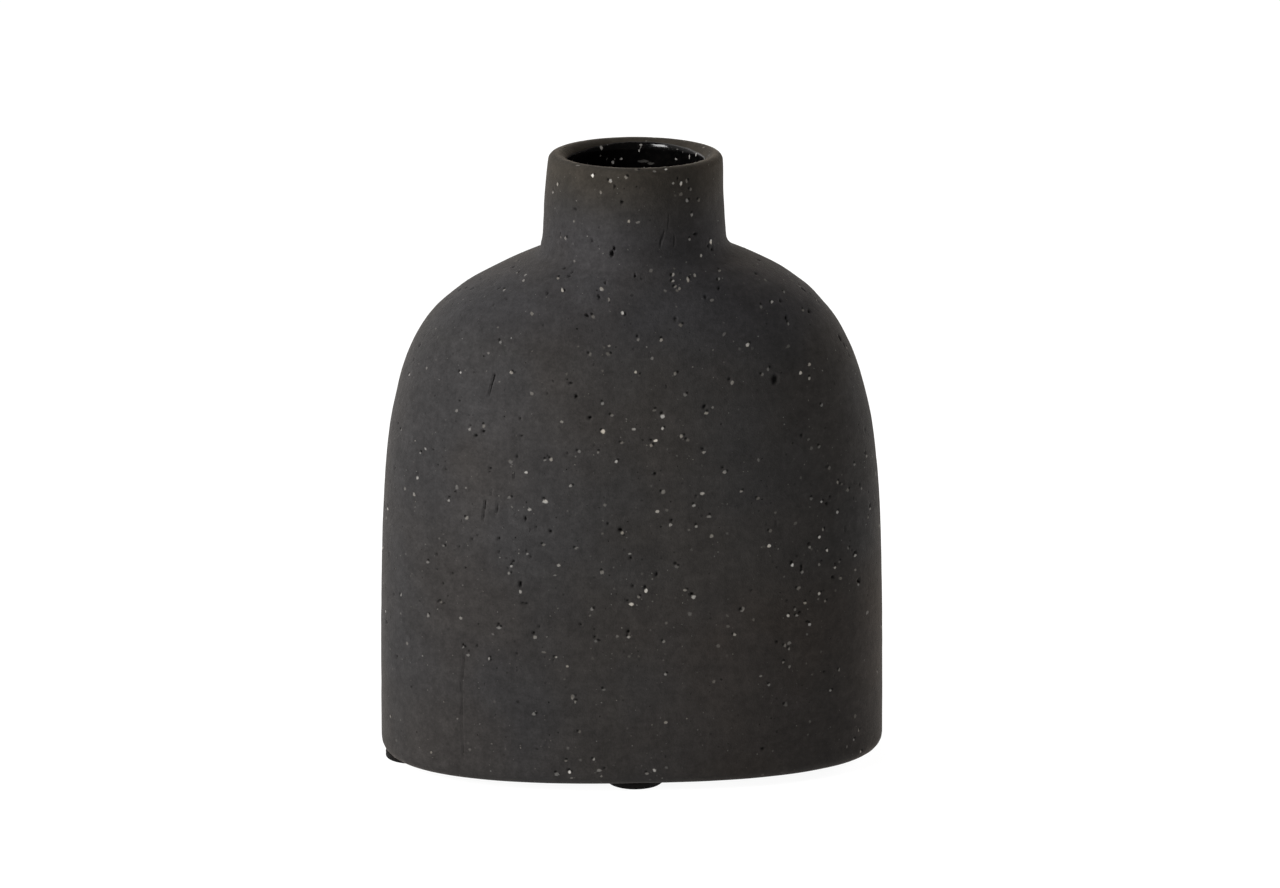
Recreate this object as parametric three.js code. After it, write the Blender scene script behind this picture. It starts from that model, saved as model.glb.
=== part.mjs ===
// Bud vase: flattened oval stoneware bottle with a round neck, a glaze lining inside
// and four stick-on foot pads. Millimetres, +Z up. The long axis of the oval is X,
// the front of the vase faces -Y and the pads stand on the plane Z = 0.
import * as THREE from 'three';
import { mergeVertices } from 'three/addons/utils/BufferGeometryUtils.js';

// ---------------------------------------------------------------- driving dimensions
const PAD_RADIUS = 7.1;          // foot pad
const PAD_THICK = 1.8;
const PAD_EDGE = 0.45;           // rounding of the pad's rims
const ADHESIVE_RADIUS = 5.9;     // self-adhesive disc between pad and clay
const ADHESIVE_THICK = 0.2;
const BASE_Z = PAD_THICK + ADHESIVE_THICK;   // underside of the clay

const HEIGHT = 153.0;            // clay, underside to rim
const HALF_WIDTH = 63.82;        // half the long axis of the oval
const HALF_DEPTH = 35.1;         // half the short axis of the oval
const SQUARE = 2.43;             // power of the body's oval: 2 is an ellipse, more is squarer
const NECK_FOOT_RADIUS = 22.6;   // round neck where it leaves the shoulder
const BASE_ROUND = 3.45;         // rounded edge of the underside
const LIP_ROUND_OUT = 1.95;      // rounding of the rim, outside
const LIP_ROUND_IN = 2.8;        // rounding of the rim, inside
const WALL = 5.0;                // clay wall
const MOUTH_RADIUS = 16.82;      // inside of the neck at the rim
const FLOOR = 6.5;               // clay floor
const FLOOR_ROUND = 7.0;         // inside corner of the floor
const GLAZE_GAP = 0.15;          // glaze skin, clear of the clay
const GLAZE = 0.45;
const GLAZE_EDGE = 56;           // the glaze stops here on the inside rounding, degrees from its crest

const SEGMENTS = 48;             // round the oval
const PAD_SEGMENTS = 24;

// Half-width of the oval at each height above the underside.
const SIDE = [
  [3.45, 63.82], [12, 63.71], [22, 63.62], [34, 63.49], [46, 63.18], [58, 62.69], [68, 62.07],
  [78, 61.18], [86, 60.1], [93, 58.55], [99, 56.86], [104, 54.89], [108, 52.85], [112, 50.16],
  [115, 47.43], [118, 44.22], [120.5, 40.77], [123, 36.52], [125, 32.6], [127, 27.99],
  [128.5, 24.5], [129.4, 23.64], [130.4, 23.2], [131.6, 22.82], [133.4, 22.62], [137, 22.39],
  [142, 22.13], [147, 21.84], [151.05, 21.57],
];

// The centre of the oval wanders a little with height, because the piece is hand finished:
// [height, shift along X].
const LEAN = [[0, 0], [60, 0], [90, -0.18], [105, -0.34], [113, -0.19], [119, 0.42], [124, 1.32],
  [127.8, 1.58], [131, 0.66], [133.5, 0.66], [137, 0.64], [142, 0.62], [153, 1.0]];

// Centres of the pads: [name, x, y].
const PADS = [['front', -0.44, -24.38], ['left', -55.74, -2.31], ['right', 54.4, 2.6], ['back', 0.7, 24.6]];

// ---------------------------------------------------------------- profile helpers
function at(table, z) {
  if (z <= table[0][0]) return table[0][1];
  for (let i = 1; i < table.length; i++) {
    if (z <= table[i][0]) {
      const [z0, v0] = table[i - 1], [z1, v1] = table[i];
      return v0 + (v1 - v0) * (z - z0) / (z1 - z0);
    }
  }
  return table[table.length - 1][1];
}

// The oval turns round as it narrows to the neck: the half-depth follows the half-width
// from HALF_DEPTH on the body to the neck's own radius.
function depthOf(halfWidth) {
  if (halfWidth <= NECK_FOOT_RADIUS) return halfWidth;
  const k = (HALF_DEPTH - NECK_FOOT_RADIUS) / (HALF_WIDTH - NECK_FOOT_RADIUS);
  return NECK_FOOT_RADIUS + (halfWidth - NECK_FOOT_RADIUS) * k;
}

// Power of the oval: square on the body, a plain circle where the neck is round.
function powerOf(a, b) {
  return 2 + (SQUARE - 2) * Math.min(1, Math.max(0, (a - b) / (HALF_WIDTH - HALF_DEPTH)));
}

// Sideways shift of the oval's centre at a height, eased between the table's heights.
function leanAt(z) {
  for (let i = 1; i < LEAN.length; i++) {
    if (z <= LEAN[i][0]) {
      const [z0, x0] = LEAN[i - 1], [z1, x1] = LEAN[i];
      const t = Math.max(0, (z - z0) / (z1 - z0));
      return x0 + (x1 - x0) * t * t * (3 - 2 * t);
    }
  }
  return LEAN[LEAN.length - 1][1];
}

// The curve (radius, height) moved inwards by t along its own normal.
function inset(curve, t) {
  const out = [];
  for (let i = 0; i < curve.length; i++) {
    const p = curve[Math.max(0, i - 1)], q = curve[Math.min(curve.length - 1, i + 1)];
    const dz = q[0] - p[0], dr = q[1] - p[1], n = Math.hypot(dz, dr);
    out.push([curve[i][0] + dr / n * t, curve[i][1] - dz / n * t]);
  }
  return out.sort((u, v) => u[0] - v[0]);
}

// Rings of the inside surface, from the floor up to zTop: the wall inset by `extra` more.
function insideRings(extra, zTop) {
  const wide = inset(SIDE, WALL + extra);
  const deep = inset(SIDE.map(([z, a]) => [z, depthOf(a)]), WALL + extra);
  const floor = FLOOR + extra, r = FLOOR_ROUND;
  const out = [];
  const a0 = at(wide, floor + r), b0 = at(deep, floor + r);
  for (let i = 0; i <= 4; i++) {                        // rounded corner of the floor
    const a = i / 4 * Math.PI / 2, s = r * (1 - Math.sin(a));
    out.push([floor + r * (1 - Math.cos(a)), a0 - s, b0 - s]);
  }
  const heights = [28, 46, 64, 80, 92, 101, 107, 112, 116, 119, 121.6, 124, 127, 131, 138, 145];
  const neck = MOUTH_RADIUS - extra;
  for (const z of heights) {
    if (z > zTop - 2) continue;
    const n = neck + 0.5 * Math.min(1, Math.max(0, (HEIGHT - 6 - z) / 14));
    out.push([z, Math.max(n, at(wide, z)), Math.max(n, at(deep, z))]);
  }
  out.push([zTop, neck, neck]);
  return out;
}

// A closed body from rings [height, half-width, half-depth]: a turned profile whose
// rings are then drawn out into ovals. The first and last ring lie on the axis.
function ovalLathe(rings, segments) {
  const profile = rings.map(([z, a]) => new THREE.Vector2(a, z));
  const g = new THREE.LatheGeometry(profile, segments);
  const p = g.attributes.position, n = profile.length;
  const drawn = (v, r, e) => {                          // one coordinate of the circle, drawn out to the oval
    const q = Math.abs(v);
    return q < 1e-9 ? 0 : Math.sign(v) * r * Math.pow(q, e);
  };
  for (let i = 0; i < p.count; i++) {
    const [z, a, b] = rings[i % n], e = 2 / powerOf(a, b), r = a > 0 ? a : 1;
    p.setXYZ(i, drawn(p.getX(i) / r, a, e) + leanAt(z), drawn(-p.getZ(i) / r, b, e), z + BASE_Z);
  }
  g.deleteAttribute('normal');
  g.deleteAttribute('uv');
  return mergeVertices(g, 1e-4);
}

function turned(points, segments) {
  const g = new THREE.LatheGeometry(points.map(([r, z]) => new THREE.Vector2(r, z)), segments);
  const p = g.attributes.position;
  for (let i = 0; i < p.count; i++) p.setXYZ(i, p.getX(i), -p.getZ(i), p.getY(i));
  g.deleteAttribute('normal');
  g.deleteAttribute('uv');
  return mergeVertices(g, 1e-4);
}

// ---------------------------------------------------------------- clay body
function bodyGeometry() {
  const rings = [[0, 0, 0]];
  for (let i = 0; i <= 4; i++) {                        // rounded edge of the underside
    const a = i / 4 * Math.PI / 2, s = BASE_ROUND * (1 - Math.sin(a));
    rings.push([BASE_ROUND * (1 - Math.cos(a)), HALF_WIDTH - s, HALF_DEPTH - s]);
  }
  for (const [z, a] of SIDE.slice(1)) rings.push([z, a, depthOf(a)]);
  const lipOut = SIDE[SIDE.length - 1][1];
  for (let i = 1; i <= 4; i++) {                        // rim, outside
    const a = i / 4 * Math.PI / 2, r = lipOut - LIP_ROUND_OUT * (1 - Math.cos(a));
    rings.push([HEIGHT - LIP_ROUND_OUT * (1 - Math.sin(a)), r, r]);
  }
  for (let i = 1; i <= 5; i++) {                        // rim, inside
    const a = i / 5 * Math.PI / 2, r = MOUTH_RADIUS + LIP_ROUND_IN * (1 - Math.sin(a));
    rings.push([HEIGHT - LIP_ROUND_IN * (1 - Math.cos(a)), r, r]);
  }
  const inside = insideRings(0, HEIGHT - LIP_ROUND_IN - 1.4).reverse();
  for (const ring of inside) rings.push(ring);
  rings.push([FLOOR, 0, 0]);
  return ovalLathe(rings, SEGMENTS);
}

// ---------------------------------------------------------------- glaze skin
function glazeGeometry() {
  const side = extra => {                               // floor, wall and up over the rounded rim
    const rings = insideRings(extra, HEIGHT - LIP_ROUND_IN), r = LIP_ROUND_IN + extra;
    for (const deg of [78, 67, GLAZE_EDGE]) {
      const a = deg * Math.PI / 180, w = MOUTH_RADIUS + LIP_ROUND_IN - r * Math.sin(a);
      rings.push([HEIGHT - LIP_ROUND_IN + r * Math.cos(a), w, w]);
    }
    return rings;
  };
  const outer = side(GLAZE_GAP), inner = side(GLAZE_GAP + GLAZE).reverse();
  const rings = [[FLOOR + GLAZE_GAP, 0, 0], ...outer, ...inner, [FLOOR + GLAZE_GAP + GLAZE, 0, 0]];
  return ovalLathe(rings, SEGMENTS);
}

// ---------------------------------------------------------------- pads
function padGeometry() {
  const e = PAD_EDGE, c = e * (1 - Math.SQRT1_2), R = PAD_RADIUS, T = PAD_THICK;
  return turned([[0, 0], [R - e, 0], [R - c, c], [R, e], [R, T - e], [R - c, T - c], [R - e, T], [0, T]], PAD_SEGMENTS);
}
function adhesiveGeometry() {
  return turned([[0, PAD_THICK], [ADHESIVE_RADIUS, PAD_THICK], [ADHESIVE_RADIUS, BASE_Z], [0, BASE_Z]], PAD_SEGMENTS);
}

// ---------------------------------------------------------------- materials and assembly
const clay = new THREE.MeshStandardMaterial({ color: 0x393735, roughness: 0.92, metalness: 0 });
const glaze = new THREE.MeshStandardMaterial({ color: 0x070707, roughness: 0.12, metalness: 0 });
const rubber = new THREE.MeshStandardMaterial({ color: 0x0b0a09, roughness: 0.8, metalness: 0 });
const glue = new THREE.MeshStandardMaterial({ color: 0x8d8a80, roughness: 0.5, metalness: 0 });

function mesh(name, geometry, material) {
  geometry.computeVertexNormals();
  const m = new THREE.Mesh(geometry, material);
  m.name = name;
  return m;
}

const vase = new THREE.Group();
vase.name = 'bud_vase';
vase.add(mesh('stoneware_body', bodyGeometry(), clay));
vase.add(mesh('glaze_lining', glazeGeometry(), glaze));
for (const [name, x, y] of PADS) {
  const foot = new THREE.Group();
  foot.position.set(x, y, 0);
  foot.add(mesh(`foot_pad_${name}`, padGeometry(), rubber));
  foot.add(mesh(`pad_adhesive_${name}`, adhesiveGeometry(), glue));
  vase.add(foot);
}

export default vase;
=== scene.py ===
import math
import random

import bpy
import numpy as np
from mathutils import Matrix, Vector, noise as mnoise


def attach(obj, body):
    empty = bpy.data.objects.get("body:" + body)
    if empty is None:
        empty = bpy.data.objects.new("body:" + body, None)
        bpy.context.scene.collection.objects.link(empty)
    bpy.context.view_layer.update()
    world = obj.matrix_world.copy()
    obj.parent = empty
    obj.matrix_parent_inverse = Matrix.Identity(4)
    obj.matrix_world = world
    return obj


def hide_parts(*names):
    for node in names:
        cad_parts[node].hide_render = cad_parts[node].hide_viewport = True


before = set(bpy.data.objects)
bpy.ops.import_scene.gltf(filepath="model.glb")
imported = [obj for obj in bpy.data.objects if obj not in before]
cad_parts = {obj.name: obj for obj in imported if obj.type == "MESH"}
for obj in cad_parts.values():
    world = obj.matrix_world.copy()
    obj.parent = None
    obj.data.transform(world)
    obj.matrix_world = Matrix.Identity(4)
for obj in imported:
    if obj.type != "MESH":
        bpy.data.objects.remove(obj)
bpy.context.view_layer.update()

random.seed(41)
RNG = np.random.default_rng(41)
MM = 0.001

# ------------------------------------------------------------------ shape of the vase, millimetres
BASE_Z = 2.0            # underside of the clay, above the plane the pads stand on
HEIGHT = 153.0
HALF_WIDTH, HALF_DEPTH = 63.82, 35.1
SQUARE = 2.43           # power of the body's oval: 2 is an ellipse, more is squarer
NECK_FOOT = 22.6
BASE_ROUND = 3.45
LIP_OUT = 1.95
MOUTH = 16.82
WALL, FLOOR, FLOOR_ROUND = 5.0, 6.5, 7.0

SIDE_Z = np.array([3.45, 12, 22, 34, 46, 58, 68, 78, 86, 93, 99, 104, 108, 112, 115, 118, 120.5, 123, 125, 127, 128.5,
                   130, 131, 132, 133, 134.5, 136.5, 140, 145, 150, 153.0])
SIDE_A = np.array([63.82, 63.71, 63.62, 63.49, 63.18, 62.69, 62.07, 61.18, 60.1, 58.55, 56.86, 54.89, 52.85, 50.16,
                   47.43, 44.22, 40.77, 36.52, 32.6, 27.99, 24.5, 23.38, 22.96, 22.76, 22.65, 22.55, 22.42, 22.25,
                   21.94, 21.66, 21.36])
LEAN_Z = np.array([0, 60, 90, 105, 113, 119, 124, 127.8, 131, 133.5, 137, 142, 153.0])
LEAN_X = np.array([0, 0.0, -0.18, -0.34, -0.19, 0.42, 1.32, 1.58, 0.66, 0.66, 0.64, 0.62, 1.0])


def spline(xk, yk):
    """Natural cubic spline through the knots."""
    n = len(xk)
    h = np.diff(xk)
    m = np.zeros((n, n))
    r = np.zeros(n)
    m[0, 0] = m[-1, -1] = 1.0
    for i in range(1, n - 1):
        m[i, i - 1], m[i, i], m[i, i + 1] = h[i - 1], 2 * (h[i - 1] + h[i]), h[i]
        r[i] = 6 * ((yk[i + 1] - yk[i]) / h[i] - (yk[i] - yk[i - 1]) / h[i - 1])
    c = np.linalg.solve(m, r)

    def f(x):
        x = np.clip(np.asarray(x, float), xk[0], xk[-1])
        i = np.clip(np.searchsorted(xk, x) - 1, 0, n - 2)
        t0, t1 = x - xk[i], xk[i + 1] - x
        return (c[i] * t1 ** 3 + c[i + 1] * t0 ** 3) / (6 * h[i]) + (yk[i] / h[i] - c[i] * h[i] / 6) * t1 \
            + (yk[i + 1] / h[i] - c[i + 1] * h[i] / 6) * t0
    return f


side = spline(SIDE_Z, SIDE_A)
LIP_IN = float(side(HEIGHT - LIP_OUT)) - LIP_OUT - MOUTH      # the rim is round right over, outside to inside


def lean(z):
    """Sideways wander of the oval's centre with height."""
    z = np.asarray(z, float)
    i = np.clip(np.searchsorted(LEAN_Z, z) - 1, 0, len(LEAN_Z) - 2)
    t = np.clip((z - LEAN_Z[i]) / (LEAN_Z[i + 1] - LEAN_Z[i]), 0, 1)
    t = t * t * (3 - 2 * t)
    return LEAN_X[i] * (1 - t) + LEAN_X[i + 1] * t


def depth_of(a):
    k = (HALF_DEPTH - NECK_FOOT) / (HALF_WIDTH - NECK_FOOT)
    return np.where(a > NECK_FOOT, NECK_FOOT + (a - NECK_FOOT) * k, a)


def power(a, b):
    """Power of the oval: square on the body, a plain circle where the neck is round."""
    return 2 + (SQUARE - 2) * np.clip((a - b) / (HALF_WIDTH - HALF_DEPTH), 0, 1)


def section(theta, a, b):
    """Points of the oval, and the direction along it, at angles theta."""
    c, sn = np.cos(theta), np.sin(theta)
    n = power(a, b)
    ca, sa = np.abs(c) ** (2 / n), np.abs(sn) ** (2 / n)
    gx, gy = np.sign(c) * ca ** (n - 1) / np.maximum(a, 1e-9), np.sign(sn) * sa ** (n - 1) / np.maximum(b, 1e-9)
    return a * np.sign(c) * ca, b * np.sign(sn) * sa, -gy, gx


def inset(z, r, t):
    """The curve (r over z) moved inwards by t along its normal, as a function of z."""
    dz, dr = np.gradient(z), np.gradient(r)
    n = np.hypot(dz, dr)
    zz, rr = z + dr / n * t, r - dz / n * t
    o = np.argsort(zz)
    return zz[o], rr[o]


def inside(extra):
    """Half-width and half-depth of the inside, as functions of height."""
    z = np.linspace(BASE_ROUND, HEIGHT - LIP_OUT, 900)
    a = side(z)
    za, ra = inset(z, a, WALL + extra)
    zb, rb = inset(z, depth_of(a), WALL + extra)

    def f(zq):
        neck = MOUTH - extra + 0.5 * np.clip((HEIGHT - 6 - zq) / 14, 0, 1)
        return np.maximum(neck, np.interp(zq, za, ra)), np.maximum(neck, np.interp(zq, zb, rb))
    return f


class Profile:
    """A profile line (height, half-width, half-depth) with its own length as parameter."""

    def __init__(self, pts):
        p = np.array(pts, float)
        d = np.hypot(np.diff(p[:, 0]), np.diff(p[:, 1]))
        keep = np.concatenate([[True], d > 1e-9])
        p = p[keep]
        self.s = np.concatenate([[0], np.cumsum(np.hypot(np.diff(p[:, 0]), np.diff(p[:, 1])))])
        self.z, self.a, self.b = p[:, 0], p[:, 1], p[:, 2]
        self.length = float(self.s[-1])

    def at(self, s):
        return np.interp(s, self.s, self.z), np.interp(s, self.s, self.a), np.interp(s, self.s, self.b)


def arc(n, a0, a1):
    return np.linspace(a0, a1, n)


def clay_profile():
    """The whole section of the clay, from the middle of the underside round to the middle of the floor inside."""
    pts, marks = [], {}

    def mark(name):
        marks[name] = len(pts)
    for f in np.linspace(0, 1, 60):
        pts.append((0.0, f * (HALF_WIDTH - BASE_ROUND), f * (HALF_DEPTH - BASE_ROUND)))
    mark("round0")
    for t in arc(60, 0, math.pi / 2):
        i = BASE_ROUND * (1 - math.sin(t))
        pts.append((BASE_ROUND * (1 - math.cos(t)), HALF_WIDTH - i, HALF_DEPTH - i))
    mark("wall0")
    zz = np.linspace(BASE_ROUND, HEIGHT - LIP_OUT, 2400)
    aa = side(zz)
    for z, a, b in zip(zz, aa, depth_of(aa)):
        pts.append((z, a, b))
    mark("lip0")
    r = float(aa[-1])
    for t in arc(60, 0, math.pi / 2):
        q = r - LIP_OUT * (1 - math.cos(t))
        pts.append((HEIGHT - LIP_OUT * (1 - math.sin(t)), q, q))
    for t in arc(60, 0, math.pi / 2):
        q = MOUTH + LIP_IN * (1 - math.sin(t))
        pts.append((HEIGHT - LIP_IN * (1 - math.cos(t)), q, q))
    mark("in0")
    ins = inside(0.0)
    z = np.linspace(HEIGHT - LIP_IN - 0.5, FLOOR + FLOOR_ROUND, 900)
    a, b = ins(z)
    for q in zip(z, a, b):
        pts.append(q)
    mark("floor0")
    a0, b0 = float(a[-1]), float(b[-1])
    for t in arc(60, math.pi / 2, 0):
        i = FLOOR_ROUND * (1 - math.sin(t))
        pts.append((FLOOR + FLOOR_ROUND * (1 - math.cos(t)), a0 - i, b0 - i))
    e = pts[-1]
    for f in np.linspace(1, 0, 60)[1:]:
        pts.append((FLOOR, f * e[1], f * e[2]))
    pr = Profile(pts)
    full = np.array(pts)
    d = np.concatenate([[0], np.cumsum(np.hypot(np.diff(full[:, 0]), np.diff(full[:, 1])))])
    return pr, {k: float(d[min(i, len(d) - 1)]) for k, i in marks.items()}


PROF, MARK = clay_profile()

# ------------------------------------------------------------------ columns round the oval
N, K = 228, 4           # columns, and how finely a cell is cut where a mark lies


def column_angles(n):
    t = np.linspace(0, 2 * math.pi, 20001) + math.pi / 2
    x, y, _, _ = section(t, HALF_WIDTH, HALF_DEPTH)
    s = np.concatenate([[0], np.cumsum(np.hypot(np.diff(x), np.diff(y)))])
    return np.interp(np.linspace(0, s[-1], n + 1), s, t)


THETA = column_angles(N * K)       # NF + 1 angles, the seam is at the back


def place(theta, s, prof=PROF):
    """Points and outward normals (clay side) at angles theta and profile lengths s."""
    z, a, b = prof.at(s)
    e = 0.02
    z1, a1, b1 = prof.at(s + e)
    z0, a0, b0 = prof.at(s - e)
    x, y, tx, ty = section(theta, a, b)
    x1, y1, _, _ = section(theta, a1, b1)
    x0, y0, _, _ = section(theta, a0, b0)
    p = np.stack([lean(z) + x, y, z + BASE_Z], -1)
    du = np.stack([tx, ty, np.zeros_like(tx)], -1)
    dv = np.stack([lean(z1) - lean(z0) + x1 - x0, y1 - y0, z1 - z0], -1)
    n = np.cross(du, dv)
    ln = np.linalg.norm(n, axis=-1, keepdims=True)
    n = np.where(ln > 1e-9, n / np.maximum(ln, 1e-9), np.array([0, 0, 1.0]))
    return p, n, du, dv


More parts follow.
